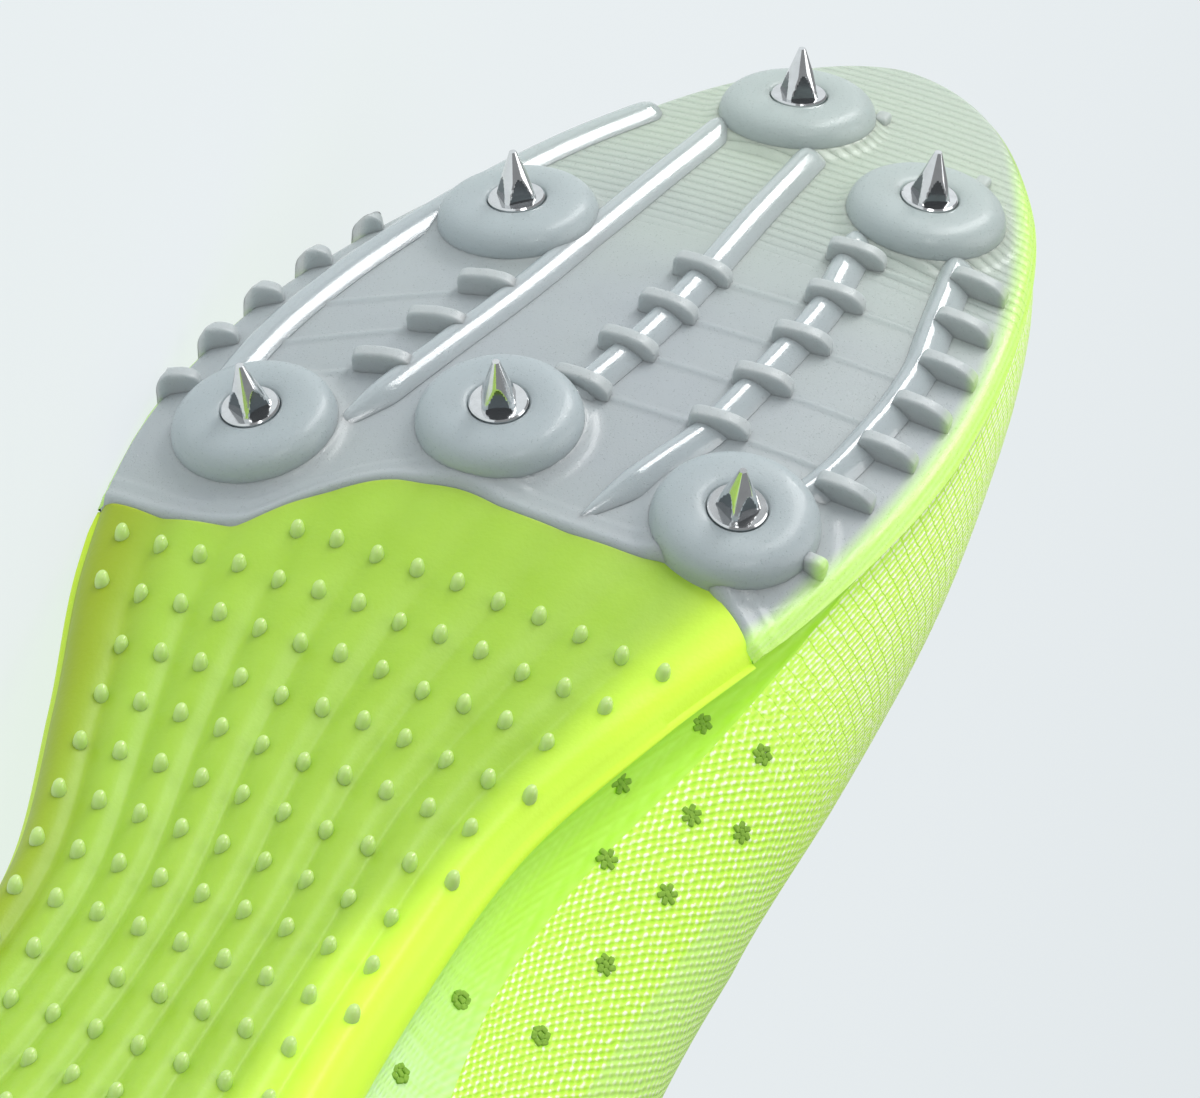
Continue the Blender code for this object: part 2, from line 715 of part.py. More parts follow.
def fluted(row, share):
    """The rear sole's lower face, with its rounded lengthways flutes."""
    point = underside(row, share)
    fade = eased(FLUTE_START_ROW, FLUTE_START_ROW + FLUTE_FADE_ROWS, row)
    point.z -= FLUTE_DEPTH * fade * abs(math.sin(math.pi * FLUTE_COUNT * (share + 1) / 2))
    return point


def make_rear_sole(material):
    """Fluted sole from the heel to the plate's wavy edge, with a rounded side wall."""
    shares = spread(-1, 1, FLUTE_COUNT * FLUTE_STEPS)
    lines = [[station] * len(shares) for station in REAR_STATIONS]
    lines.append([seam_chord_row(share, CLEARANCE) for share in shares])
    low = [[fluted(row, share) for row, share in zip(line, shares)] for line in lines]
    high = [[topside(row, share) for row, share in zip(line, shares)] for line in lines]
    mesh = bmesh.new()
    add_quads(mesh, low)
    add_quads(mesh, high)
    add_quads(mesh, [low[-1], high[-1]])
    for side, end in ((LATERAL, 0), (MEDIAL, -1)):
        under, over = [line[end] for line in low], [line[end] for line in high]
        middle = [
            (below + above) / 2 + outward(line[end], side) * SIDE_WALL_SWELL
            for line, below, above in zip(lines, under, over)
        ]
        add_quads(mesh, [under, middle, over])
        mesh.faces.new([mesh.verts.new(point) for point in (under[-1], middle[-1], over[-1])])
    return finish("rear_sole", mesh, material)


def plate_slab(deeper=0.0):
    """The plate's bare slab, from its wavy rear edge to the toe tip."""
    shares = spread(-1, 1, PLATE_STEPS)
    seam = [seam_row(share) for share in shares]
    first = PLATE_STATIONS[0]
    lines = [[row + (first - row) * blend for row in seam] for blend in PLATE_BLENDS]
    lines += [[station] * len(shares) for station in PLATE_STATIONS]
    drop = Vector((0, 0, deeper))
    low = [[underside(row, share) - drop for row, share in zip(line, shares)] for line in lines]
    high = [[topside(row, share) + drop for row, share in zip(line, shares)] for line in lines]
    return shell(low, high)


# A ring of a turned solid. Where flat is given, four flats that far from the axis cut it
Ring = namedtuple("Ring", "radius out flat", defaults=(None,))


def ring_point(ring, angle):
    """Point of a ring before it is set on its axis."""
    limit = ring.radius if ring.flat is None else ring.flat
    along, across = (
        min(max(ring.radius * turn, -limit), limit) for turn in (math.cos(angle), math.sin(angle))
    )
    return Vector((along, across, ring.out))


def turned(profile, segments, origin, axis, turn=0.0, first=0.0):
    """Closed solid turned about an axis, with its flats square to the turn."""
    frame = axis.to_track_quat("Z", "Y").to_matrix() @ Matrix.Rotation(turn, 3, "Z")
    angles = [first + 2 * math.pi * k / segments for k in range(segments)]
    return barrel([
        [origin + frame @ ring_point(ring, angle) for angle in angles] for ring in profile
    ])


def spike_place(seat):
    """Where a spike stands on the sole, and its axis."""
    return tread(seat.along * SHOE_LENGTH, seat.across * BALL_WIDTH)


def make_dome(seat, material):
    """Rounded dome that a spike is seated in."""
    origin, axis = spike_place(seat)
    profile = [Ring(DOME_RADIUS, -RELIEF_ROOT)]
    for bend in spread(0, math.pi / 2, DOME_SHOULDER_STEPS):
        radius = DOME_FACE_RADIUS + (DOME_RADIUS - DOME_FACE_RADIUS) * math.cos(bend)
        profile.append(Ring(radius, DOME_HEIGHT * math.sin(bend)))
    mesh = turned(profile, DOME_SEGMENTS, origin, axis)
    return finish(f"dome_guide_{seat.name}", mesh, material)


def make_bore(seat, material):
    """Recess for the spike's flange and the bore for its stud."""
    origin, axis = spike_place(seat)
    floor = DOME_HEIGHT - RECESS_DEPTH
    recess = FLANGE_RADIUS + CLEARANCE
    stud = STUD_RADIUS + CLEARANCE
    end = floor - STUD_LENGTH - 2 * CLEARANCE
    top = DOME_HEIGHT + RECESS_DEPTH
    profile = [Ring(stud, end), Ring(stud, floor), Ring(recess, floor), Ring(recess, top)]
    return finish(f"bore_guide_{seat.name}", turned(profile, BORE_SEGMENTS, origin, axis), material)


def rib_point(rib, share):
    """Place on a rib's line, as distances along and across; share runs from 0 to 1."""
    points = RIBS[rib]
    place = share * (len(points) - 1)
    index = min(int(place), len(points) - 2)
    around = [points[min(max(index + k, 0), len(points) - 1)] for k in (-1, 0, 1, 2)]
    along, across = (catmull(*(p[axis] for p in around), place - index) for axis in (0, 1))
    return along * SHOE_LENGTH, across * BALL_WIDTH


def make_rib(rib, material):
    """Half-round bar along the plate."""
    rings = []
    for share in spread(0, 1, RIB_STEPS):
        origin, axis = tread(*rib_point(rib, share))
        before, _ = tread(*rib_point(rib, max(share - RIB_SHARE_STEP, 0)))
        after, _ = tread(*rib_point(rib, min(share + RIB_SHARE_STEP, 1)))
        beside = axis.cross(after - before).normalized()
        end = RIB_END_SHARE if share in (0, 1) else 1.0
        ring = [origin + beside * (RIB_HALF_WIDTH * end) - axis * RELIEF_ROOT]
        for bend in spread(0, math.pi, RIB_SIDES):
            wide = RIB_HALF_WIDTH * math.cos(bend) * end
            ring.append(origin + beside * wide + axis * (RIB_HEIGHT * math.sin(bend) * end))
        ring.append(origin - beside * (RIB_HALF_WIDTH * end) - axis * RELIEF_ROOT)
        rings.append(ring)
    return finish(f"rib_guide_{rib}", barrel(rings), material)


def make_lug(name, along, across, turn, material):
    """Rounded fin standing on the plate."""
    origin, axis = tread(along, across)
    ahead = (tread(along + TREAD_STEP, across)[0] - origin).normalized()
    ahead = Matrix.Rotation(math.radians(turn), 3, axis) @ ahead
    beside = axis.cross(ahead).normalized()
    rings = []
    for out, length, width in (
        (-RELIEF_ROOT, LUG_LENGTH, LUG_WIDTH),
        (LUG_HEIGHT * LUG_SHOULDER, LUG_LENGTH, LUG_WIDTH),
        (LUG_HEIGHT, LUG_LENGTH - LUG_WIDTH * LUG_ROUND, LUG_WIDTH * LUG_ROUND),
    ):
        reach, half = beside * (length / 2), ahead * (width / 2)
        base = origin + axis * out
        rings.append([base - reach - half, base + reach - half, base + reach + half, base - reach + half])
    return finish(name, barrel(rings), material)


def make_lugs(material):
    """Every lug, row by row."""
    lugs = []
    for lug_row in LUG_ROWS:
        for number in range(lug_row.count):
            along = (lug_row.first + lug_row.pitch * number) * SHOE_LENGTH
            across = rib_point(lug_row.rib, rib_share(lug_row.rib, along))[1]
            across += lug_row.beside * BALL_WIDTH
            name = f"lug_guide_{lug_row.rib}_{number}"
            lugs.append(make_lug(name, along, across, lug_row.turn, material))
    return lugs


def rib_share(rib, along):
    """Share of the rib's line that lies this far from the heel."""
    low, high = 0.0, 1.0
    for _ in range(30):
        middle = (low + high) / 2
        if rib_point(rib, middle)[0] < along:
            low = middle
        else:
            high = middle
    return (low + high) / 2


def make_plate(material):
    """Grey forefoot plate with its domes, ribs and lugs, and a bore for each spike."""
    plate = finish("forefoot_plate", plate_slab(), material)
    relief = [make_dome(seat, material) for seat in SPIKE_SEATS]
    relief += [make_rib(rib, material) for rib in RIBS]
    relief += make_lugs(material)
    unite(plate, relief, "Relief")
    outline = finish("outline_guide", plate_slab(OUTLINE_DEPTH), material)
    unite(plate, [outline], "Outline", "INTERSECT")
    bores = [make_bore(seat, material) for seat in SPIKE_SEATS]
    unite(plate, bores, "Bores", "DIFFERENCE")
    return plate


def make_spike(seat, material):
    """Threaded stud's core, flange and a cone with four sloping wrench flats."""
    origin, axis = spike_place(seat)
    floor = DOME_HEIGHT - RECESS_DEPTH + CLEARANCE
    base = floor + FLANGE_THICKNESS
    profile = [
        Ring(STUD_RADIUS, floor - STUD_LENGTH),
        Ring(STUD_RADIUS, floor),
        Ring(FLANGE_RADIUS, floor),
        Ring(FLANGE_RADIUS, base),
    ]
    slope = SPIKE_TIP_RADIUS - SPIKE_BASE_RADIUS
    flat_end = SPIKE_BASE_RADIUS + slope * SPIKE_FLAT_SHARE
    for share in (0.0, SPIKE_FLAT_SHARE / 2, SPIKE_FLAT_SHARE, 1.0):
        flat = FLAT_HALF_WIDTH + (flat_end - FLAT_HALF_WIDTH) * share / SPIKE_FLAT_SHARE
        cut = flat if share < SPIKE_FLAT_SHARE else None
        profile.append(Ring(SPIKE_BASE_RADIUS + slope * share, base + SPIKE_LENGTH * share, cut))
    turn = math.radians(seat.flat_turn)
    mesh = turned(profile, SPIKE_SEGMENTS, origin, axis, turn, SPIKE_CORNER_TURN)
    return finish(seat.name, mesh, material, smooth_angle=30.0)


def clear_scene():
    """Takes out whatever the new file holds."""
    for item in list(bpy.data.objects):
        bpy.data.objects.remove(item, do_unlink=True)


def centre(pieces):
    """Carries every object on one empty that puts the shoe's middle over the origin."""
    points = [vertex.co for piece in pieces for vertex in piece.data.vertices]
    middle = [
        (min(point[axis] for point in points) + max(point[axis] for point in points)) / 2
        for axis in (0, 1)
    ]
    carrier = bpy.data.objects.new("shoe", None)
    bpy.context.scene.collection.objects.link(carrier)
    carrier.location = (-middle[0], -middle[1], 0)
    for item in bpy.data.objects:
        if item is not carrier:
            item.parent = carrier


def main():
    """Builds every piece and sets the shoe over the origin."""
    clear_scene()
    plate_grey = make_material("plate grey", (0.42, 0.47, 0.48), 0.42)
    sole_green = make_material("sole green", (0.42, 0.68, 0.14), 0.38)
    neon_mesh = make_material("neon mesh", (0.55, 0.95, 0.06), 0.75)
    overlay = make_material("overlay film", (0.62, 0.95, 0.20), 0.45)
    lining = make_material("insole cloth", (0.45, 0.50, 0.48), 0.85)
    lace_cloth = make_material("lace cloth", (0.70, 0.95, 0.25), 0.80)
    chrome = make_material("spike chrome", (0.70, 0.71, 0.72), 0.12, 1.0)
    pieces = [
        make_plate(plate_grey),
        make_rear_sole(sole_green),
        make_upper(neon_mesh),
        make_insole(lining),
        make_tongue(neon_mesh),
        make_eyestay(overlay),
        make_laces(lace_cloth),
    ]
    pieces += [make_spike(seat, chrome) for seat in SPIKE_SEATS]
    centre(pieces)


main()
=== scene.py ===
"""Looks of a right track spike shoe that lies on its outer side, sole towards the viewer.

The shoe's pieces are worked out in its own frame, as in the part's source: x runs from the
heel back to the toe tip, y towards the inner (medial) side, z up from the ball of the sole.
Lengths are in metres. to_frame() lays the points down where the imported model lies.
"""

import math
from collections import namedtuple

import bmesh
import bpy
import numpy as np
from mathutils import Matrix, Vector


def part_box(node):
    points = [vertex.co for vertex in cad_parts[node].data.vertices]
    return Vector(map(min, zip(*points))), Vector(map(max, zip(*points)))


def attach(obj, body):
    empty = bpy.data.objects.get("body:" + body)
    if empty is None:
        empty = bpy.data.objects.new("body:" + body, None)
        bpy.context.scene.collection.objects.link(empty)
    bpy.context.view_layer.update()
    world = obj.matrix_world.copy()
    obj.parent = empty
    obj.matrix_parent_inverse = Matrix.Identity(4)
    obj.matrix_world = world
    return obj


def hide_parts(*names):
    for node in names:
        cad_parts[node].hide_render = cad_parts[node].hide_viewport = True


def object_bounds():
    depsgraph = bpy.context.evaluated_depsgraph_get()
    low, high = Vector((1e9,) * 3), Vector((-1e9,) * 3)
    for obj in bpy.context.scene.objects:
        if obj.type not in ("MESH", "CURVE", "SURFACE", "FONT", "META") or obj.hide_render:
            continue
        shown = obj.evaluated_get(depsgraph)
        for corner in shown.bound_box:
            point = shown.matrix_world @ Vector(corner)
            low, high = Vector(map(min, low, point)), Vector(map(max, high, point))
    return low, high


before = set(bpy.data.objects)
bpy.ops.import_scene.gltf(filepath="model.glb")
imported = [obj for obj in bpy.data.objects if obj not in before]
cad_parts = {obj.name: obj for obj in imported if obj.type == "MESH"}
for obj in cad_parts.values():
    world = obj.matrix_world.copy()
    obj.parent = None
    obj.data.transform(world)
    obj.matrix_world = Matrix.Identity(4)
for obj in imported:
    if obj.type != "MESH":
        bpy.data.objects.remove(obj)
CAD_LOW, CAD_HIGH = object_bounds()

bl_info = {
    "name": "Track Spike Shoe",
    "version": (1, 0, 0),
    "blender": (4, 5, 0),
    "location": "View3D > Sidebar > Spike Shoe",
    "description": "Builds the looks of a track spike shoe round its packed solids",
    "category": "Object",
}

# Driving sizes of the last and the sole
SHOE_LENGTH = 0.284
BALL_WIDTH = 0.094
INSTEP_HEIGHT = 0.080
TOE_SPRING = 0.0115
ARCH_RISE = 0.0095
EDGE_RISE = 0.0050
PLATE_THICKNESS = 0.0022
PLATE_EDGE = 0.0015
HEEL_STACK = 0.0135
HEEL_EDGE = 0.0120
CLEARANCE = 0.0003

# Upper, tongue, insole and laces
UPPER_WALL = 0.0014
COLLAR_WALL = 0.0036
FEATHER_INSET = 0.0008
FEATHER_LIFT = 0.0005
SECTION_FULLNESS = 0.85
BULGE_LOW = 0.22
THROAT_HALF_GAP = 0.0135
INSOLE_THICKNESS = 0.0030
INSOLE_INSET = 0.0030
TONGUE_THICKNESS = 0.0026
TONGUE_HALF_WIDTH = 0.0225
TONGUE_TOE_HALF_WIDTH = 0.0170
TONGUE_CORNER = 0.0080
TONGUE_GAP = 0.0012
EYESTAY_WIDTH = 0.0125
EYESTAY_THICKNESS = 0.0008
EYESTAY_EDGE = 0.0010
LACE_WIDTH = 0.0060
LACE_THICKNESS = 0.0012
LACE_LIFT = 0.0008
LACE_ROWS = 6
LACE_INSET = 0.0055

# Relief of the sole
DOME_RADIUS = 0.0103
DOME_HEIGHT = 0.0040
DOME_FACE_RADIUS = 0.0056
RECESS_DEPTH = 0.0010
RIB_HEIGHT = 0.0016
LUG_LENGTH = 0.0076
LUG_WIDTH = 0.0022
LUG_HEIGHT = 0.0029
SPIKE_LENGTH = 0.00635
SPIKE_BASE_RADIUS = 0.0027
SPIKE_TIP_RADIUS = 0.00045
FLANGE_RADIUS = 0.00365
FLANGE_THICKNESS = 0.0007
STUD_RADIUS = 0.0023
STUD_LENGTH = 0.0032
FLUTE_COUNT = 9
FLUTE_DEPTH = 0.0012
SIDE_WALL_SWELL = 0.0008

LIE_SWING = math.radians(4.9)
LATERAL = -1
MEDIAL = 1
TOEWARD = np.array([1.0, 0.0, 0.0])
MILLIMETRES = 1000
BLACK = (0, 0, 0)

# The padded collar: rows over which it thins out, and shares of the wall's height
PAD_ROWS_BEFORE_THROAT = 0.4
PAD_ROWS_INTO_THROAT = 1.0
PAD_START = 0.45
PAD_FULL = 0.8

# Where the pieces begin and end, in rows of the tables below
THROAT_TOP = 7.0
THROAT_FRONT = 10.55
EYESTAY_TURN_ROW = 9.6
EYESTAY_EDGE_ROWS = 0.1
EYESTAY_TOE_ROWS = 0.55
LACE_TOP_ROW = 7.25
LACE_FRONT_ROW = 9.95
FLUTE_START_ROW = 1.5
SEAM_ROW_GUESS = 9.0
TONGUE_TOE_ROW = 11.2
TONGUE_TOP_ROW = 5.6

# Where the solid upper was faceted: its highest corner fixes how the shoe lies
UPPER_STATIONS = (
    0, 0.5, 1, 1.5, 2, 2.5, 3, 3.5, 4, 4.5, 5, 5.5, 6, 6.33, 6.66, 7, 7.5, 8, 8.5, 9,
    9.5, 10, 10.3, 10.48, 10.55, 11, 11.5, 12, 13, 14, 15, 16, 17,
)
WALL_STEPS = (0.0, 0.05, 0.12, 0.22, 0.35, 0.5, 0.66, 0.83, 1.0)

SoleRow = namedtuple("SoleRow", "along lateral medial spring arch stack")
SOLE_ROWS = (
    SoleRow(0.000, -0.055, -0.055, 0.00, 0.80, 1.00),
    SoleRow(0.015, -0.235, 0.140, 0.00, 0.60, 1.00),
    SoleRow(0.050, -0.335, 0.240, 0.00, 0.46, 1.00),
    SoleRow(0.110, -0.380, 0.265, 0.00, 0.44, 1.00),
    SoleRow(0.200, -0.360, 0.230, 0.00, 0.68, 0.86),
    SoleRow(0.280, -0.330, 0.195, 0.00, 0.92, 0.64),
    SoleRow(0.365, -0.340, 0.190, 0.00, 1.00, 0.42),
    SoleRow(0.450, -0.415, 0.215, 0.00, 0.85, 0.24),
    SoleRow(0.530, -0.495, 0.300, 0.00, 0.55, 0.10),
    SoleRow(0.605, -0.530, 0.400, 0.00, 0.20, 0.02),
    SoleRow(0.685, -0.500, 0.465, 0.00, 0.02, 0.00),
    SoleRow(0.755, -0.430, 0.475, 0.06, 0.00, 0.00),
    SoleRow(0.825, -0.330, 0.450, 0.19, 0.00, 0.00),
    SoleRow(0.885, -0.235, 0.400, 0.40, 0.00, 0.00),
    SoleRow(0.935, -0.150, 0.325, 0.63, 0.00, 0.00),
    SoleRow(0.970, -0.070, 0.250, 0.82, 0.00, 0.00),
    SoleRow(0.992, 0.005, 0.170, 0.95, 0.00, 0.00),
    SoleRow(1.000, 0.085, 0.085, 1.00, 0.00, 0.00),
)
LAST_ROW = len(SOLE_ROWS) - 1

UpperRow = namedtuple("UpperRow", "along crest height cut lateral_bulge medial_bulge")
UPPER_ROWS = (
    UpperRow(0.140, -0.055, 1.35, 0.86, 0.048, 0.048),
    UpperRow(0.145, -0.055, 1.35, 0.85, 0.048, 0.048),
    UpperRow(0.155, -0.055, 1.34, 0.81, 0.048, 0.052),
    UpperRow(0.185, -0.055, 1.31, 0.74, 0.050, 0.070),
    UpperRow(0.233, -0.050, 1.29, 0.70, 0.056, 0.115),
    UpperRow(0.296, -0.040, 1.25, 0.74, 0.070, 0.175),
    UpperRow(0.360, -0.020, 1.17, 0.84, 0.072, 0.220),
    UpperRow(0.430, 0.000, 1.05, 1.00, 0.056, 0.225),
    UpperRow(0.515, 0.010, 0.92, 1.00, 0.036, 0.170),
    UpperRow(0.600, 0.020, 0.79, 1.00, 0.024, 0.100),
    UpperRow(0.683, 0.030, 0.670, 1.00, 0.020, 0.050),
    UpperRow(0.748, 0.042, 0.590, 1.00, 0.020, 0.026),
    UpperRow(0.810, 0.055, 0.520, 1.00, 0.020, 0.020),
    UpperRow(0.860, 0.065, 0.465, 1.00, 0.020, 0.020),
    UpperRow(0.900, 0.073, 0.415, 1.00, 0.020, 0.020),
    UpperRow(0.928, 0.079, 0.370, 1.00, 0.020, 0.020),
    UpperRow(0.945, 0.083, 0.335, 1.00, 0.020, 0.020),
    UpperRow(0.952, 0.085, 0.320, 1.00, 0.020, 0.020),
)

SeamPoint = namedtuple("SeamPoint", "across along")
SEAM = (
    SeamPoint(-0.60, 0.562),
    SeamPoint(-0.51, 0.560),
    SeamPoint(-0.42, 0.556),
    SeamPoint(-0.32, 0.559),
    SeamPoint(-0.26, 0.578),
    SeamPoint(-0.20, 0.594),
    SeamPoint(-0.15, 0.602),
    SeamPoint(-0.07, 0.605),
    SeamPoint(0.03, 0.601),
    SeamPoint(0.16, 0.600),
    SeamPoint(0.24, 0.602),
    SeamPoint(0.30, 0.594),
    SeamPoint(0.36, 0.577),
    SeamPoint(0.45, 0.545),
)

SpikeSeat = namedtuple("SpikeSeat", "name along across flat_turn")
SPIKE_SEATS = (
    SpikeSeat("spike_toe_lateral", 0.922, 0.012, 36.0),
    SpikeSeat("spike_toe_medial", 0.864, 0.266, 38.0),
    SpikeSeat("spike_side_lateral", 0.785, -0.228, 43.0),
    SpikeSeat("spike_ball_lateral", 0.613, -0.370, 62.0),
    SpikeSeat("spike_ball_centre", 0.646, -0.070, 25.0),
    SpikeSeat("spike_ball_medial", 0.632, 0.271, 59.0),
)

RIBS = {
    "edge": ((0.604, -0.456), (0.663, -0.447), (0.719, -0.412), (0.767, -0.369),
             (0.820, -0.308), (0.868, -0.245), (0.908, -0.180)),
    "outer": ((0.618, -0.276), (0.680, -0.210), (0.729, -0.165), (0.793, -0.125),
              (0.854, -0.095), (0.905, -0.075)),
    "middle": ((0.607, -0.082), (0.670, -0.012), (0.723, 0.029), (0.772, 0.047),
               (0.818, 0.055), (0.865, 0.062), (0.895, 0.065)),
    "inner": ((0.608, 0.087), (0.653, 0.144), (0.680, 0.176), (0.719, 0.197),
              (0.771, 0.215), (0.801, 0.210), (0.837, 0.200)),
    "medial": ((0.613, 0.246), (0.667, 0.332), (0.715, 0.363), (0.756, 0.370),
               (0.781, 0.361), (0.819, 0.346), (0.843, 0.336)),
}

LugRow = namedtuple("LugRow", "rib first pitch count beside turn")
LUG_ROWS = (
    LugRow("edge", 0.631, 0.0326, 5, -0.065, 24.0),
    LugRow("outer", 0.664, 0.0325, 3, -0.032, 12.0),
    LugRow("middle", 0.679, 0.0316, 4, 0.005, 0.0),
    LugRow("inner", 0.680, 0.0341, 5, 0.015, 8.0),
    LugRow("medial", 0.638, 0.0309, 7, 0.042, 2.0),
)

# Fine raised lines of the plate: each runs from a row of lugs to the next rib, and slant
# is how far towards the toe it goes for each length towards the medial side
StepLines = namedtuple("StepLines", "lug_row to_rib slant")
STEP_LINES = (
    StepLines(1, "edge", 0.42),
    StepLines(2, "inner", 0.0),
    StepLines(3, "medial", 0.0),
)

# Stitched dots of the medial side, as row and height share over it
StitchedDot = namedtuple("StitchedDot", "row height")
STITCHED_DOTS = (
    StitchedDot(8.47, 0.053),
    StitchedDot(8.27, 0.010),
    StitchedDot(8.16, 0.087),
    StitchedDot(7.93, 0.045),
    StitchedDot(7.72, 0.006),
    StitchedDot(7.59, 0.069),
    StitchedDot(7.41, 0.027),
    StitchedDot(7.03, 0.064),
    StitchedDot(6.44, 0.055),
    StitchedDot(6.30, 0.015),
    StitchedDot(5.90, 0.050),
    StitchedDot(5.77, 0.010),
    StitchedDot(5.40, 0.060),
)

# Small blocks of the plate: two among the toe's fine grooves, one beside the medial dome
Block = namedtuple("Block", "along across length width height")
BLOCKS = (
    Block(0.940, 0.118, 0.0020, 0.0030, 0.0012),
    Block(0.908, 0.300, 0.0020, 0.0030, 0.0012),
    Block(0.626, 0.384, 0.0034, 0.0021, 0.0026),
)


def catmull(a, b, c, d, share):
    """Smooth value between b and c."""
    return 0.5 * (
        2 * b
        + (c - a) * share
        + (2 * a - 5 * b + 4 * c - d) * share**2
        + (3 * b - a - 3 * c + d) * share**3
    )


def swapped(name):
    """The same column on the other side of the shoe."""
    if name.startswith("lateral"):
        return name.replace("lateral", "medial")
    return name.replace("medial", "lateral")


def column(rows, name):
    """A table's column, read on round the heel and the toe onto the other side."""
    other = swapped(name)
    values = [getattr(row, name) for row in rows]
    return np.array([getattr(rows[1], other), *values, getattr(rows[-2], other)])


def read(rows, name, row):
    """A column of a section table at any place between its rows."""
    row = np.asarray(row, float)
    start = np.clip(np.floor(row).astype(int), 0, LAST_ROW - 1)
    values = column(rows, name)
    return catmull(*(values[start + step] for step in range(4)), row - start)


def folded(row, side):
    """Row and side, carried on round the heel or the toe."""
    row, side = np.broadcast_arrays(np.asarray(row, float), side)
    beyond = (row < 0) | (row > LAST_ROW)
    inside = np.where(row < 0, -row, np.where(row > LAST_ROW, 2 * LAST_ROW - row, row))
    return inside, np.where(beyond, -side, side)


def side_value(rows, row, side, suffix=""):
    """The lateral or medial column, whichever side each point is on."""
    row, side = folded(row, side)
    lateral = read(rows, "lateral" + suffix, row)
    return np.where(side < 0, lateral, read(rows, "medial" + suffix, row))


HALVINGS = 24
SEAM_ROUNDS = 8
FINE_STEPS_PER_ROW = 400
FINE_ROWS = np.linspace(0, LAST_ROW, LAST_ROW * FINE_STEPS_PER_ROW + 1)
FINE_ALONG = read(SOLE_ROWS, "along", FINE_ROWS) * SHOE_LENGTH


def row_at(along):
    """The row whose section lies at this distance from the heel."""
    return np.interp(along, FINE_ALONG, FINE_ROWS)


def edge_xy(row, side):
    """The sole's outline."""
    along = read(SOLE_ROWS, "along", folded(row, side)[0]) * SHOE_LENGTH
    across = side_value(SOLE_ROWS, row, side) * BALL_WIDTH
    return np.stack(np.broadcast_arrays(along, across), -1)


def unit(vectors):
    """The vectors at length one."""
    return vectors / np.maximum(np.linalg.norm(vectors, axis=-1, keepdims=True), 1e-12)


def outward(row, side):
    """Level direction out of the sole's edge."""
    step = 0.02
    tangent = unit(edge_xy(row + step, side) - edge_xy(row - step, side))
    sign = -np.broadcast_to(side, tangent.shape[:-1])
    level = np.stack([tangent[..., 1], -tangent[..., 0], np.zeros(tangent.shape[:-1])], -1)
    return level * sign[..., None]


def width_share(row):
    """Width of the sole's section as a share of the ball's, nothing at heel and toe tip."""
    return np.maximum(read(SOLE_ROWS, "medial", row) - read(SOLE_ROWS, "lateral", row), 0.0)


def underside(row, share):
    """The sole's lower face; share runs from -1 at the lateral edge to 1 at the medial."""
    row, share = np.broadcast_arrays(np.asarray(row, float), share)
    lateral = edge_xy(row, LATERAL)
    place = lateral + (edge_xy(row, MEDIAL) - lateral) * (share[..., None] + 1) / 2
    rise = read(SOLE_ROWS, "spring", row) * TOE_SPRING + read(SOLE_ROWS, "arch", row) * ARCH_RISE
    rise = rise + EDGE_RISE * (width_share(row) * share) ** 2
    return np.concatenate([place, rise[..., None]], -1)


def raised(points, rise):
    """The points moved up by rise."""
    lifted = np.array(points)
    lifted[..., 2] += rise
    return lifted


def topside(row, share):
    """The sole's upper face, where the insole and the upper sit."""
    row, share = np.broadcast_arrays(np.asarray(row, float), share)
    stack = read(SOLE_ROWS, "stack", row)
    centre = PLATE_THICKNESS + stack * (HEEL_STACK - PLATE_THICKNESS)
    edge = PLATE_EDGE + stack * (HEEL_EDGE - PLATE_EDGE)
    crown = (1 - share**2) * np.minimum(2 * width_share(row), 1.0)
    return raised(underside(row, share), edge + (centre - edge) * crown)


def crest(row):
    """Centre line of the vamp, the instep and the leg."""
    row = folded(row, LATERAL)[0]
    return np.stack([
        read(UPPER_ROWS, "along", row) * SHOE_LENGTH,
        read(UPPER_ROWS, "crest", row) * BALL_WIDTH,
        read(UPPER_ROWS, "height", row) * INSTEP_HEIGHT,
    ], -1)


def foot_point(row, side):
    """Where the upper's outer face meets the sole."""
    return raised(topside(*folded(row, side)) - outward(row, side) * FEATHER_INSET, FEATHER_LIFT)


def skin_point(row, side, height):
    """The upper's outer face: height runs from 0 at the sole to 1 at the crest,
    and on to 2 at the sole on the other side."""
    row, side, height = np.broadcast_arrays(np.asarray(row, float), side, height)
    side = np.where(height > 1, -side, side)
    height = np.where(height > 1, 2 - height, height)
    foot = foot_point(row, side)
    reach = crest(row) - foot
    angle = height * math.pi / 2
    inward = 1 - np.maximum(np.cos(angle), 0.0) ** SECTION_FULLNESS
    upward = np.sin(angle) ** SECTION_FULLNESS
    point = foot + reach * np.stack([inward, inward, upward], -1)
    bulge = side_value(UPPER_ROWS, row, side, "_bulge") * BALL_WIDTH
    low = height / BULGE_LOW
    swell = bulge * low * np.exp(1 - low) * (1 - height**3)
    return point + outward(row, side) * swell[..., None]


def skin(row, side, height, lift=0.0):
    """The upper's outer face moved out along its own normal."""
    row, side, height, lift = np.broadcast_arrays(np.asarray(row, float), side, height, lift)
    step = 0.02
    forward = skin_point(row + step, side, height) - skin_point(row - step, side, height)
    low = np.maximum(height - step, 0.0)
    upward = skin_point(row, side, height + step) - skin_point(row, side, low)
    normal = unit(np.cross(forward, upward)) * -side[..., None]
    return skin_point(row, side, height) + normal * lift[..., None]


def height_at(row, side, distance):
    """Height share at which the skin is this far from its crest, measured level."""
    row, side, distance = np.broadcast_arrays(np.asarray(row, float), side, distance)
    peak = crest(row)
    low, high = np.full(row.shape, BULGE_LOW), np.ones(row.shape)
    for _ in range(HALVINGS):
        middle = (low + high) / 2
        level = (skin_point(row, side, middle) - peak)[..., :2]
        beyond = np.linalg.norm(level, axis=-1) > distance
        low, high = np.where(beyond, middle, low), np.where(beyond, high, middle)
    return (low + high) / 2


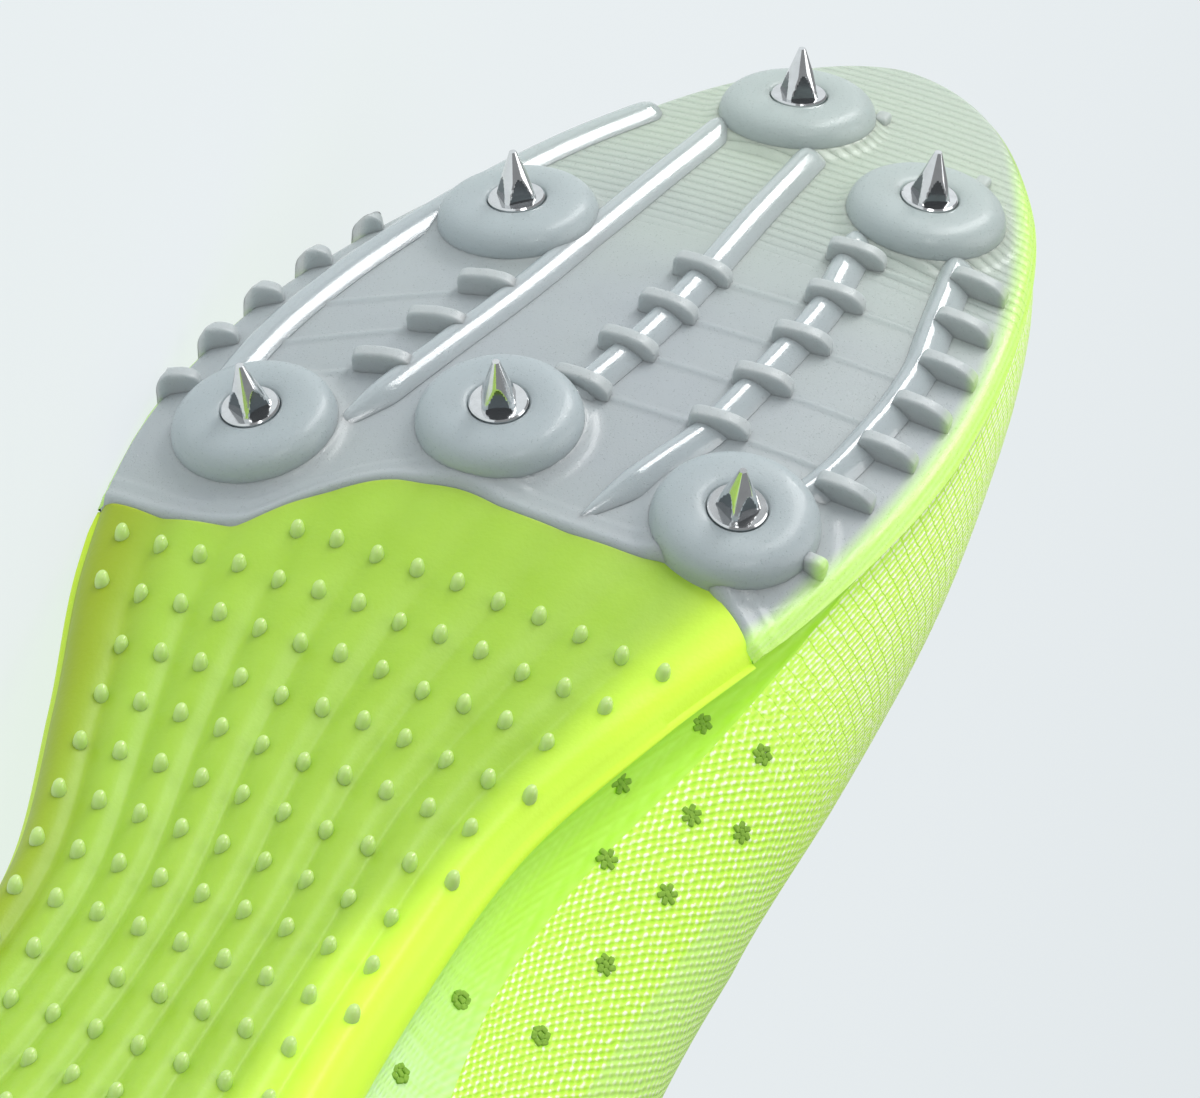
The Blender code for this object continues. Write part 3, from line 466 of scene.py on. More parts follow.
def throat_gap(row):
    """Half the throat's width, round at its toe end."""
    share = (row - THROAT_TOP) / (THROAT_FRONT - THROAT_TOP)
    return THROAT_HALF_GAP * np.sqrt(np.maximum(1 - np.maximum(share, 0) ** 3, 0.0))


def cut_height(row, side):
    """Height share at which the upper ends: the collar, the throat or the crest."""
    row = np.asarray(row, float)
    throat_row = np.clip(row, THROAT_TOP, THROAT_FRONT)
    throat = height_at(throat_row, side, throat_gap(throat_row))
    collar_row = np.minimum(row, THROAT_TOP - 1)
    foot = foot_point(collar_row, side)[..., 2]
    rise = read(UPPER_ROWS, "cut", collar_row) * INSTEP_HEIGHT - foot
    share = np.clip(rise / (crest(collar_row)[..., 2] - foot), 0, 1) ** (1 / SECTION_FULLNESS)
    collar = np.arcsin(share) / (math.pi / 2)
    top = height_at(THROAT_TOP, side, throat_gap(THROAT_TOP))
    near = collar + (top - collar) * np.clip(row - collar_row, 0, 1)
    return np.where(row >= THROAT_FRONT, 1.0, np.where(row >= THROAT_TOP, throat, near))


def eased(low, high, value):
    """0 below low, 1 above high, smooth between."""
    share = np.clip((value - low) / (high - low), 0.0, 1.0)
    return share * share * (3 - 2 * share)


def collar_padding(row):
    """1 round the collar, 0 along the throat and the vamp."""
    return 1 - eased(THROAT_TOP - PAD_ROWS_BEFORE_THROAT, THROAT_TOP + PAD_ROWS_INTO_THROAT, row)


def wall(row, share):
    """The upper's wall, thicker in the padded collar; share is of the cut height."""
    pad = collar_padding(row) * eased(PAD_START, PAD_FULL, share)
    return UPPER_WALL + (COLLAR_WALL - UPPER_WALL) * pad


def over_throat(row, offset, lift):
    """Points over the instep, offset level from the crest: minus is lateral."""
    row, offset, lift = np.broadcast_arrays(np.asarray(row, float), offset, lift)
    side = np.where(offset < 0, LATERAL, MEDIAL)
    return skin(row, side, height_at(row, side, np.abs(offset)), lift)


def place_on_sole(along, across):
    """Row and share of a place given from the heel and the centre line."""
    row = row_at(along)
    lateral = edge_xy(row, LATERAL)[..., 1]
    medial = edge_xy(row, MEDIAL)[..., 1]
    return row, (2 * across - lateral - medial) / (medial - lateral)


def tread(along, across):
    """Points of the underside and the directions out of it."""
    step = 0.001
    point = underside(*place_on_sole(along, across))
    ahead = underside(*place_on_sole(along + step, across)) - point
    beside = underside(*place_on_sole(along, across + step)) - point
    return point, unit(np.cross(beside, ahead))


def seat_of(place):
    """Point of the underside at a spike's or a block's place, and the direction out of it."""
    return tread(place.along * SHOE_LENGTH, place.across * BALL_WIDTH)


def seam_along(across):
    """Distance from the heel of the plate's wavy rear edge."""
    last = len(SEAM) - 2
    knots = np.array([point.across for point in SEAM])
    values = np.array([point.along for point in SEAM])
    share = np.clip(np.asarray(across) / BALL_WIDTH, knots[1], knots[last])
    index = np.clip(np.searchsorted(knots, share, side="left") - 1, 1, last - 1)
    blend = (share - knots[index]) / (knots[index + 1] - knots[index])
    return catmull(*(values[index + step] for step in (-1, 0, 1, 2)), blend) * SHOE_LENGTH


def seam_row(share, gap=0.0):
    """Row of the plate's rear edge at this share of the sole's width."""
    row = np.full(np.shape(share), SEAM_ROW_GUESS)
    for _ in range(SEAM_ROUNDS):
        row = row_at(seam_along(underside(row, share)[..., 1]) - gap)
    return row


def rib_point(rib, share):
    """Places on a rib's line, as distances along and across; share runs from 0 to 1."""
    points = np.array(RIBS[rib]) * (SHOE_LENGTH, BALL_WIDTH)
    last = len(points) - 1
    place = np.asarray(share, float) * last
    index = np.minimum(place.astype(int), last - 1)
    around = [points[np.clip(index + step, 0, last)] for step in (-1, 0, 1, 2)]
    found = catmull(*around, (place - index)[..., None])
    return found[..., 0], found[..., 1]


RIB_SAMPLES = 80


def rib_across(rib, along):
    """How far across a rib lies at this distance from the heel."""
    line_along, line_across = rib_point(rib, np.linspace(0, 1, RIB_SAMPLES))
    return np.interp(along, line_along, line_across)


def lay_turn():
    """Turns the shoe's own frame over onto its lateral side, heel swung down."""
    over = np.array([[-1, 0, 0], [0, 0, 1], [0, 1, 0]], float)
    cosine, sine = math.cos(LIE_SWING), math.sin(LIE_SWING)
    return np.array([[cosine, 0, sine], [0, 1, 0], [-sine, 0, cosine]]) @ over


def lay_shift():
    """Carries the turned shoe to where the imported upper's highest corner lies."""
    rows, shares = np.meshgrid(UPPER_STATIONS, WALL_STEPS, indexing="ij")
    points = []
    for side in (LATERAL, MEDIAL):
        heights = cut_height(rows, side) * shares
        points.append(skin(rows, side, heights).reshape(-1, 3))
        points.append(skin(rows, side, heights, -wall(rows, shares)).reshape(-1, 3))
    return np.array(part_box("upper")[1]) - (np.concatenate(points) @ LAY_TURN.T).max(0)


LAY_TURN = lay_turn()
LAY_SHIFT = lay_shift()


def to_frame(points):
    """Points of the shoe's own frame, laid down; nothing goes below the floor."""
    laid = np.asarray(points) @ LAY_TURN.T + LAY_SHIFT
    laid[..., 2] = np.maximum(laid[..., 2], 0.0)
    return laid


class Wire:
    """A shader socket that works in Python sums: each sum on it adds a Math node."""

    def __init__(self, finish, socket):
        self.finish = finish
        self.socket = socket

    def math(self, operation, first, second=0.0):
        """Adds one Math node."""
        settings = {"operation": operation}
        return self.finish.node("ShaderNodeMath", settings, {0: first, 1: second})

    def __add__(self, other):
        return self.math("ADD", self, other)

    def __sub__(self, other):
        return self.math("SUBTRACT", self, other)

    def __rsub__(self, other):
        return self.math("SUBTRACT", other, self)

    def __mul__(self, other):
        return self.math("MULTIPLY", self, other)

    def __pow__(self, other):
        return self.math("POWER", self, other)

    __radd__ = __add__
    __rmul__ = __mul__

    def sine(self):
        return self.math("SINE", self)

    def absolute(self):
        return self.math("ABSOLUTE", self)

    def angle(self, other):
        """Angle whose tangent is this over the other."""
        return self.math("ARCTAN2", self, other)

    def lesser(self, other):
        return self.math("MINIMUM", self, other)

    def greater(self, other):
        return self.math("MAXIMUM", self, other)

    def eased(self, low, high):
        """0 below low, 1 above high, smooth between."""
        settings = {"interpolation_type": "SMOOTHSTEP"}
        return self.finish.node(
            "ShaderNodeMapRange", settings, {"Value": self, "From Min": low, "From Max": high}
        )

    def output(self, index):
        """Another output of the same node."""
        return Wire(self.finish, self.socket.node.outputs[index])


class Finish:
    """A material whose shader is built up from nodes."""

    def __init__(self, name, colour, roughness, **sockets):
        self.material = bpy.data.materials.new(name)
        self.material.use_nodes = True
        self.tree = self.material.node_tree
        self.shader = self.tree.nodes["Principled BSDF"]
        self.material.diffuse_color = (*colour, 1.0)
        self.set("Base Color", (*colour, 1.0))
        self.set("Roughness", roughness)
        for name, value in sockets.items():
            self.set(name.replace("_", " ").title().replace("Ior", "IOR"), value)

    def feed(self, socket, value):
        """Links a wire to a socket, or sets the socket to a plain value."""
        if isinstance(value, Wire):
            self.tree.links.new(value.socket, socket)
        else:
            socket.default_value = value

    def set(self, name, value):
        """Feeds one socket of the shader."""
        self.feed(self.shader.inputs[name], value)

    def tint_with_painted_glow(self, colour):
        """The same colour for the surface and for its painted glow, a faint light that the surface
        gives off itself.
        """
        self.set("Base Color", colour)
        self.set("Emission Color", colour)

    def node(self, kind, settings, inputs, output=0):
        """Adds a node: its settings come first, then its sockets' values or links."""
        made = self.tree.nodes.new(kind)
        for name, value in settings.items():
            setattr(made, name, value)
        for key, value in inputs.items():
            self.feed(made.inputs[key], value)
        return Wire(self, made.outputs[output])

    def place(self):
        """x, y and z in the shoe's own frame, in millimetres."""
        back = Matrix(LAY_TURN.T.tolist())
        shift = back @ Vector(LAY_SHIFT) * -MILLIMETRES
        inputs = {
            "Vector": self.node("ShaderNodeTexCoord", {}, {}, output=3),
            "Location": shift,
            "Rotation": back.to_euler(),
            "Scale": (MILLIMETRES,) * 3,
        }
        self.vector = self.node("ShaderNodeMapping", {"vector_type": "POINT"}, inputs)
        x = self.node("ShaderNodeSeparateXYZ", {}, {0: self.vector})
        return x, x.output(1), x.output(2)

    def noise(self, scale, detail=2.0, stretch=(1, 1, 1)):
        """Soft random values from 0 to 1 over the shoe; scale is in waves per millimetre."""
        inputs = {0: self.vector, 1: stretch}
        vector = self.node("ShaderNodeVectorMath", {"operation": "MULTIPLY"}, inputs)
        inputs = {"Vector": vector, "Scale": scale, "Detail": detail}
        return self.node("ShaderNodeTexNoise", {}, inputs)

    def mix(self, factor, first, second):
        """Colour between two colours."""
        inputs = {0: factor, 6: colour_of(first), 7: colour_of(second)}
        return self.node("ShaderNodeMix", {"data_type": "RGBA"}, inputs, output=2)

    def bump(self, height, distance, strength=1.0):
        """Relief of the surface, in metres at height 1."""
        inputs = {"Strength": strength, "Distance": distance, "Height": height}
        self.set("Normal", self.node("ShaderNodeBump", {}, inputs))


def colour_of(value):
    """A wire as it is, or a colour with full alpha."""
    return value if isinstance(value, Wire) else (*value[:3], 1.0)


def darker(colour, share):
    """The colour with this share of its light."""
    return tuple(value * share for value in colour)


class Surface:
    """Points and faces of one piece, gathered in the shoe's own frame."""

    def __init__(self):
        self.points = []
        self.faces = []
        self.finish_numbers = []
        self.total = 0

    def grid(self, points, finish=0, closed=False):
        """Adds a grid of points with its faces, or without them where finish is None;
        returns the points' numbers."""
        rows, columns = points.shape[:2]
        index = self.total + np.arange(rows * columns).reshape(rows, columns)
        self.points.append(points.reshape(-1, 3))
        self.total += rows * columns
        if finish is not None:
            self.quads(np.concatenate([index, index[:, :1]], 1) if closed else index, finish)
        return index

    def quads(self, index, finish=0):
        """Faces between neighbouring rows of points that are there already."""
        index = np.asarray(index)
        corners = np.stack([index[:-1, :-1], index[:-1, 1:], index[1:, 1:], index[1:, :-1]], -1)
        found = corners.reshape(-1, 4).tolist()
        self.faces += found
        self.finish_numbers += np.broadcast_to(finish, len(found)).tolist()

    def face(self, ring, finish=0):
        """One face round a ring of points."""
        self.faces.append([int(number) for number in ring])
        self.finish_numbers.append(finish)

    def join_edges(self, low, high):
        """Faces that close the gap between two grids of points all round."""
        for end in (0, -1):
            self.quads(np.stack([low[:, end], high[:, end]]))
            self.quads(np.stack([low[end], high[end]]))

    def join_coarse(self, fine, coarse, step):
        """Faces between a line of points and one that has only every step-th of them."""
        for number in range(len(coarse) - 1):
            between = fine[number * step:(number + 1) * step + 1]
            self.face([coarse[number + 1], coarse[number], *between])

    def build(self, name, finishes, node=None, weld=0.00002, sharp=50.0):
        """Lays the piece down as an object that rides on the shoe."""
        data = bpy.data.meshes.new(name)
        data.from_pydata(to_frame(np.concatenate(self.points)).tolist(), [], self.faces)
        data.polygons.foreach_set("material_index", self.finish_numbers)
        mesh = bmesh.new()
        mesh.from_mesh(data)
        bmesh.ops.remove_doubles(mesh, verts=mesh.verts, dist=weld)
        bmesh.ops.dissolve_degenerate(mesh, edges=mesh.edges, dist=weld)
        bmesh.ops.recalc_face_normals(mesh, faces=mesh.faces)
        mesh.to_mesh(data)
        mesh.free()
        data.shade_smooth()
        data.set_sharp_from_angle(angle=math.radians(sharp))
        for finish in finishes:
            data.materials.append(finish.material)
        piece = bpy.data.objects.new(name, data)
        bpy.context.scene.collection.objects.link(piece)
        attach(piece, "root")
        if node:
            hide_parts(node)
        return piece


def axes_at(origin_axis, ahead):
    """Directions ahead and beside, square to the axis out of the surface."""
    beside = unit(np.cross(origin_axis, ahead))
    return unit(np.cross(beside, origin_axis)), beside


def add_turned(surface, profile, origin, axis, segments, finish=0, flats=None, turn=0.0):
    """Adds a solid turned about an axis; profile rows are radius and distance out, and
    flats the half width between four flats at each of them, which take finish 1."""
    ahead, beside = axes_at(axis, TOEWARD)
    angles = turn + np.linspace(0, 2 * math.pi, segments, endpoint=False)
    radius, out = np.array(profile).T
    across = radius[:, None] * np.cos(angles)
    along = radius[:, None] * np.sin(angles)
    finishes = finish
    if flats is not None:
        limit = np.array(flats)[:, None]
        beyond = np.maximum(np.abs(across), np.abs(along)) > limit
        beyond = beyond & np.roll(beyond, -1, 1)
        finishes = (beyond[:-1] & beyond[1:]).astype(int).reshape(-1)
        across, along = np.clip(across, -limit, limit), np.clip(along, -limit, limit)
    cosine, sine = math.cos(turn), math.sin(turn)
    points = origin + out[:, None, None] * axis
    points = points + (across * cosine - along * sine)[..., None] * ahead
    points = points + (across * sine + along * cosine)[..., None] * beside
    index = surface.grid(points, finishes, closed=True)
    surface.face(index[0][::-1], finish)
    surface.face(index[-1], finish)


def powered(values, exponent):
    """The values' sizes raised to a power, with their signs kept."""
    return np.sign(values) * np.abs(values) ** exponent


def distance_along(line):
    """How far along a line of points each of them lies."""
    return np.concatenate([[0], np.cumsum(np.linalg.norm(np.diff(line, axis=0), axis=-1))])


def inside_outline(points):
    """The points, those beyond the sole's outline carried in onto it."""
    row = row_at(points[..., 0])
    across = np.clip(points[..., 1], edge_xy(row, LATERAL)[..., 1], edge_xy(row, MEDIAL)[..., 1])
    return np.stack([points[..., 0], across, points[..., 2]], -1)


FIN_RISE_STEPS = 11
FIN_SIDES = 32
DROOP_START = 0.1


def add_fin(
    surface, origin, axis, ahead, size, finish=0, root=0.0008, square=(0.5, 0.5), droop=0.0
):
    """Adds a rounded block standing on the surface; size is length, width and height, root
    is how deep its foot goes, square is how boxy it is (lower is boxier, seen from the side
    and from above) and droop is how much lower its medial end is, as a share of the height."""
    length, width, height = size
    beside = unit(np.cross(axis, ahead))
    beside = beside if beside[1] > 0 else -beside
    rise = np.linspace(0, math.pi / 2, FIN_RISE_STEPS)
    around = np.linspace(0, 2 * math.pi, FIN_SIDES, endpoint=False)
    inward = powered(np.cos(rise), square[0])[:, None]
    across = inward * powered(np.cos(around), square[1])
    along = inward * powered(np.sin(around), square[1]) * width / 2
    out = np.repeat(powered(np.sin(rise), square[0])[:, None], len(around), 1)
    low_end = np.clip((across + DROOP_START) / (1 + DROOP_START), 0, 1) ** 2
    out = out * height * (1 - droop * low_end)
    across = across * length / 2
    across, along = (np.concatenate([grid[:1], grid]) for grid in (across, along))
    out = np.concatenate([np.full((1, len(around)), -root), out])
    points = origin + across[..., None] * beside + along[..., None] * ahead + out[..., None] * axis
    if droop:
        points = inside_outline(points)
    index = surface.grid(points, finish, closed=True)
    surface.face(index[0][::-1], finish)


TIP_START = 0.93


def tip_spaced(total, fine):
    """Shares from 0 to 1, evenly spaced at first, then closer and closer together."""
    plain = np.linspace(0, TIP_START, total)
    return np.concatenate([plain[:-1], 1 - (1 - TIP_START) * (1 - np.linspace(0, 1, fine)) ** 2])


# The plate's rear lip and bead, its rolled edge and its fine lines
FILLET_HEIGHT = 0.0010
STEP_LINE_WIDTH = 0.00045
PLATE_ROLL_WIDTH = 0.0014
PLATE_ROLL_DROP = 0.0008
PLATE_SIDE_SWELL = 0.0004
BEAD_HEIGHT = 0.0004
BEAD_BEHIND = 0.0011
BEAD_WIDTH = 0.0008
LIP_THICKER = 0.0002
LIP_REACH = 0.004
LIP_ROLL_DROP = 0.0005
LIP_ROLL_WIDTH = 0.0006
LIP_LEAST_THICKNESS = 0.0006
PLATE_TIP_LINES = 30
COARSE_STEP = 8

# The plate's finishes, by their places in its list
DOME_FINISH = 1
RIB_FINISH = 2
LUG_FINISH = 3
EDGE_FINISH = 4


def plate_fillets(points, settings):
    """Soft fillets round the domes."""
    rise = np.zeros(points.shape[:-1])
    for place in SPIKE_SEATS:
        origin, axis = seat_of(place)
        away = points - origin
        away = away - (away @ axis)[..., None] * axis
        gap = np.maximum(np.linalg.norm(away, axis=-1) - DOME_RADIUS, 0)
        fillet = FILLET_HEIGHT * np.clip(1 - gap / settings.dome_fillet, 0, 1) ** 2
        rise = np.maximum(rise, fillet)
    return rise


def plate_relief(points, settings):
    """How far the plate's fine lines and fillets stand out of it."""
    along, across = points[..., 0], points[..., 1]
    relief = plate_fillets(points, settings)
    for lines in STEP_LINES:
        lug_row = LUG_ROWS[lines.lug_row]
        for number in range(lug_row.count):
            start, centre = lug_place(lug_row, number)
            line = start + (across - centre) * lines.slant
            far = rib_across(lines.to_rib, along)
            low, high = np.minimum(centre, far), np.maximum(centre, far)
            within = (across > low) & (across < high)
            ridge = np.exp(-(((along - line) / STEP_LINE_WIDTH) ** 2))
            relief += within * ridge * settings.step_height
    return relief


def lug_place(lug_row, number):
    """Where a lug of a row stands, as distances along and across."""
    along = (lug_row.first + lug_row.pitch * number) * SHOE_LENGTH
    return along, rib_across(lug_row.rib, along) + lug_row.beside * BALL_WIDTH


def edge_roll(row, share, width, drop):
    """How far the underside curves up along its edge."""
    half = width_share(row) * BALL_WIDTH / 2
    inside = np.clip((1 - np.abs(share)) * half / width, 0, 1)
    return drop * (1 - np.sqrt(1 - (1 - inside) ** 2))


def build_plate(settings):
    """Forefoot plate with its domes, ribs and lugs."""
    surface = Surface()
    shares = np.linspace(-1, 1, settings.columns * COARSE_STEP + 1)
    start = read(SOLE_ROWS, "along", seam_row(shares, -settings.lip)) * SHOE_LENGTH
    start = start - 2 * settings.lip
    share_along = tip_spaced(settings.lines, PLATE_TIP_LINES)[:, None]
    row = row_at(start + (SHOE_LENGTH - start) * share_along)
    low = underside(row, shares)
    behind = low[..., 0] - start
    bead = BEAD_HEIGHT * np.exp(-(((behind - BEAD_BEHIND) / BEAD_WIDTH) ** 2))
    bead = bead + LIP_THICKER * (behind < LIP_REACH)
    rise = edge_roll(row, shares, PLATE_ROLL_WIDTH, PLATE_ROLL_DROP) - bead
    rise = rise + LIP_ROLL_DROP * (1 - eased(0, LIP_ROLL_WIDTH, behind))
    relief = plate_relief(low, settings)
    low = raised(low, rise - relief)
    high = topside(row[:, ::COARSE_STEP], shares[::COARSE_STEP])
    high[0] = raised(low[0, ::COARSE_STEP], LIP_LEAST_THICKNESS)
    low_index = surface.grid(low, None)
    surface.quads(low_index[:, :2], EDGE_FINISH)
    surface.quads(low_index[:, 1:])
    high_index = surface.grid(high)
    for side, end in ((LATERAL, 0), (MEDIAL, -1)):
        middle = (low[:, end] + high[:, end]) / 2
        middle = middle + outward(row[:, end], side) * PLATE_SIDE_SWELL
        middle = surface.grid(middle[:, None])[:, 0]
        wall_index = np.stack([low_index[:, end], middle, high_index[:, end]], 1)
        surface.quads(wall_index, EDGE_FINISH)
    surface.join_coarse(low_index[0], high_index[0], COARSE_STEP)
    for place in SPIKE_SEATS:
        add_dome(surface, place)
    for rib in RIBS:
        add_rib(surface, rib, settings)
    add_lugs(surface)
    finishes = [
        plate_finish(settings, "milky grey plastic", settings.colour, 0.4, 0.12, 1.0, 1.0),
        plate_finish(settings, "matt grey dome", settings.dome_colour, 0.42, 0.1),
        plate_finish(settings, "glossy rib", settings.rib_colour, 0.13, 0.8),
        plate_finish(settings, "soft grey lug", settings.lug_colour, 0.46, 0.08),
        plate_finish(settings, "thin green edge", settings.edge_colour, 0.3, 0.3),
    ]
    return surface.build("forefoot_plate_moulded", finishes, "forefoot_plate")


# A dome's profile: each point of the dish is a distance past the recess's radius and a
# depth under the dome's face
DOME_STEPS = 26
DOME_FULLNESS = 0.8
DOME_SIDES = 80
DOME_SKIRT_WIDER = 0.0002
DOME_SKIRT_DEPTH = 0.0009
DOME_WALL_FOOT = 0.0003
DISH = ((0.0010, 0.00005), (0.0003, 0.0002), (0.00005, 0.0004))
RECESS_WIDER = 0.0001
RECESS_LIFT = 0.0001
RECESS_CORNER = 0.0002
STUD_HOLE_DEPTH = 0.001


def add_dome(surface, place):
    """Broad rounded dome, dished at the rim of the recess for the spike's flange."""
    origin, axis = seat_of(place)
    bend = np.linspace(0, math.pi / 2, DOME_STEPS)
    radius = DOME_FACE_RADIUS + (DOME_RADIUS - DOME_FACE_RADIUS) * np.cos(bend) ** DOME_FULLNESS
    out = DOME_WALL_FOOT + (DOME_HEIGHT - DOME_WALL_FOOT) * np.sin(bend) ** DOME_FULLNESS
    floor = DOME_HEIGHT - RECESS_DEPTH
    recess = FLANGE_RADIUS + RECESS_WIDER
    hole = STUD_RADIUS + CLEARANCE
    profile = [(DOME_RADIUS + DOME_SKIRT_WIDER, -DOME_SKIRT_DEPTH), *zip(radius, out)]
    profile += [(recess + past, DOME_HEIGHT - under) for past, under in DISH]
    profile += [(recess, floor + RECESS_LIFT), (recess - RECESS_CORNER, floor)]
    profile += [(hole, floor), (hole, floor - STUD_HOLE_DEPTH)]
    add_turned(surface, profile, origin, axis, DOME_SIDES, DOME_FINISH)


# A rib's shape: how fast each side falls away, and how it tapers at its ends
RIB_STEPS = 90
RIB_SECTION_STEPS = 29
RIB_STEEP_POWER = 2.4
RIB_SHALLOW_POWER = 1.7
RIB_HEEL_POWER = 0.7
RIB_TOE_REACH = 0.003
RIB_END_SHARE = 0.02
RIB_FOOT = 0.00012
RIB_ROOT = 0.0008


def add_rib(surface, rib, settings):
    """Glossy rounded bar along the plate, steeper on its lateral side."""
    share = np.linspace(0, 1, RIB_STEPS)
    origin, axis = tread(*rib_point(rib, share))
    ahead = unit(np.gradient(origin, axis=0))
    beside = unit(np.cross(axis, ahead))
    beside = beside * np.sign(beside[:, 1:2])
    span = distance_along(origin)
    heel_end = np.clip(span / settings.rib_taper, RIB_END_SHARE, 1) ** RIB_HEEL_POWER
    toe_end = np.clip((span[-1] - span) / RIB_TOE_REACH, RIB_END_SHARE, 1)
    taper = np.minimum(heel_end, np.sqrt(1 - (1 - toe_end) ** 2))
    across = np.linspace(0, 1, RIB_SECTION_STEPS)
    width = settings.rib_medial + settings.rib_lateral
    offset = across * width - settings.rib_lateral
    crown = settings.rib_lateral / width
    steep = 1 - np.clip((crown - across) / crown, 0, 1) ** RIB_STEEP_POWER
    shallow = 1 - np.clip((across - crown) / (1 - crown), 0, 1) ** RIB_SHALLOW_POWER
    out = RIB_FOOT + (RIB_HEIGHT - RIB_FOOT) * np.minimum(steep, shallow)
    offset = np.concatenate([offset[:1], offset, offset[-1:]])
    out = np.concatenate([[-RIB_ROOT], out, [-RIB_ROOT]])
    points = origin[:, None] + beside[:, None] * (offset * taper[:, None])[..., None]
    points = points + axis[:, None] * (out * taper[:, None])[..., None]
    index = surface.grid(points, RIB_FINISH, closed=True)
    surface.face(index[0], RIB_FINISH)
    surface.face(index[-1][::-1], RIB_FINISH)


def turned_about(vector, axis, degrees):
    """The vector turned about the axis."""
    return np.array(Matrix.Rotation(math.radians(degrees), 3, Vector(axis)) @ Vector(vector))


LUG_FORM = {"square": (0.34, 0.26), "droop": 0.42}
LUG_AHEAD_STEP = 0.002


def add_lugs(surface):
    """Rows of rounded fins on the ribs, and the small blocks."""
    size = (LUG_LENGTH, LUG_WIDTH, LUG_HEIGHT)
    for lug_row in LUG_ROWS:
        for number in range(lug_row.count):
            along, across = lug_place(lug_row, number)
            origin, axis = tread(along, across)
            ahead = unit(tread(along + LUG_AHEAD_STEP, across)[0] - origin)
            ahead = turned_about(ahead, axis, lug_row.turn)
            add_fin(surface, origin, axis, ahead, size, LUG_FINISH, **LUG_FORM)
    for block in BLOCKS:
        origin, axis = seat_of(block)
        ahead, _ = axes_at(axis, TOEWARD)
        size = (block.length, block.width, block.height)
        add_fin(surface, origin, axis, ahead, size, LUG_FINISH)


# The rear sole: rows over which the flutes come and go, and the shape of its sides
FLUTE_RUN_IN_ROWS = 2
FLUTE_FADE_START_ROW = 7.4
FLUTE_FADE_END_ROW = 9.0
FLUTE_FADE = 0.75
FLUTE_SOFTNESS = 0.03
FLUTE_OFFSET = 0.17
SOLE_ROLL_WIDTH = 0.0024
SOLE_ROLL_DROP = 0.0016
SOLE_LINES = 230
SOLE_END_LINES = 26
COLUMNS_PER_FLUTE = 16
SIDE_WALL_STEPS = 9
SIDE_WALL_FULLNESS = 0.8
SIDE_FINISH = 1
NUB_FINISH = 2


def rear_floor(row, share):
    """Underside of the rear sole with its flutes and its rounded edge."""
    point = underside(row, share)
    fade = eased(FLUTE_START_ROW, FLUTE_START_ROW + FLUTE_RUN_IN_ROWS, row)
    fade = fade * (1 - FLUTE_FADE * eased(FLUTE_FADE_START_ROW, FLUTE_FADE_END_ROW, row))
    wave = np.sin(math.pi * FLUTE_COUNT * (share + 1) / 2)
    flute = FLUTE_DEPTH * fade * (np.sqrt(wave**2 + FLUTE_SOFTNESS) - FLUTE_OFFSET)
    return raised(point, edge_roll(row, share, SOLE_ROLL_WIDTH, SOLE_ROLL_DROP) - flute)


def build_rear_sole(settings):
    """Green rear sole with fanning flutes and a grid of nubs."""
    surface = Surface()
    shares = np.linspace(-1, 1, FLUTE_COUNT * COLUMNS_PER_FLUTE + 1)
    end = read(SOLE_ROWS, "along", seam_row(shares, CLEARANCE)) * SHOE_LENGTH
    share_along = (1 - tip_spaced(SOLE_LINES, SOLE_END_LINES))[::-1][:, None]
    row = row_at(end * share_along)
    low = rear_floor(row, shares)
    high = topside(row[:, ::COARSE_STEP], shares[::COARSE_STEP])
    low_index = surface.grid(low)
    high_index = surface.grid(high)
    steps = np.linspace(0, 1, SIDE_WALL_STEPS)[1:-1]
    swell = SIDE_WALL_SWELL * np.sin(math.pi * steps) ** SIDE_WALL_FULLNESS
    blend = steps[None, :, None]
    for side, column_number in ((LATERAL, 0), (MEDIAL, -1)):
        foot, top = low[:, None, column_number], high[:, None, column_number]
        out = outward(row[:, column_number], side)[:, None]
        line = foot * (1 - blend) + top * blend + out * swell[None, :, None]
        index = surface.grid(line, SIDE_FINISH)
        low_edge, high_edge = low_index[:, column_number], high_index[:, column_number]
        surface.quads(np.stack([low_edge, index[:, 0]], 1), SIDE_FINISH)
        surface.quads(np.stack([index[:, -1], high_edge], 1), SIDE_FINISH)
    surface.join_coarse(low_index[-1], high_index[-1], COARSE_STEP)
    add_nubs(surface, settings)
    finishes = [sole_finish(settings), side_finish(settings), nub_finish(settings)]
    return surface.build("rear_sole_moulded", finishes, "rear_sole")


# The nubs' grid: where it starts, how each line of nubs is shifted across and slants
# towards the toe, and how near the sole's and the plate's edges a nub may stand
NUB_LINES = range(-2, 17)
NUB_COLUMNS = range(-12, 22)
NUB_GRID_ACROSS = -0.0414
NUB_GRID_ALONG = 0.1455
NUB_LINE_SHIFT = 0.0013
NUB_SLANT = 0.003
NUB_SLANT_FROM = 0.042
NUB_SLANT_WIDTH = 0.037
NUB_WIDEST_SHARE = 0.93
NUB_SEAM_GAP = 0.0035
NUB_STEPS = 6
NUB_SIDES = 12
NUB_FULLNESS = 0.65
NUB_HALF_LENGTH = 0.00110
NUB_HALF_WIDTH = 0.00088
NUB_LEAN = 0.0005
NUB_ROOT = 0.0002


def add_nubs(surface, settings):
    """Grid of small pointed nubs between the heel and the plate."""
    for line in NUB_LINES:
        for number in NUB_COLUMNS:
            across = NUB_GRID_ACROSS + settings.nub_spacing * number + NUB_LINE_SHIFT * line
            slant = NUB_SLANT * (across + NUB_SLANT_FROM) / NUB_SLANT_WIDTH
            along = NUB_GRID_ALONG - settings.nub_line_spacing * line - slant
            row, share = place_on_sole(along, across)
            if abs(share) > NUB_WIDEST_SHARE or along > seam_along(across) - NUB_SEAM_GAP:
                continue
            _, axis = tread(along, across)
            add_nub(surface, rear_floor(row, share), axis, settings.nub_height)


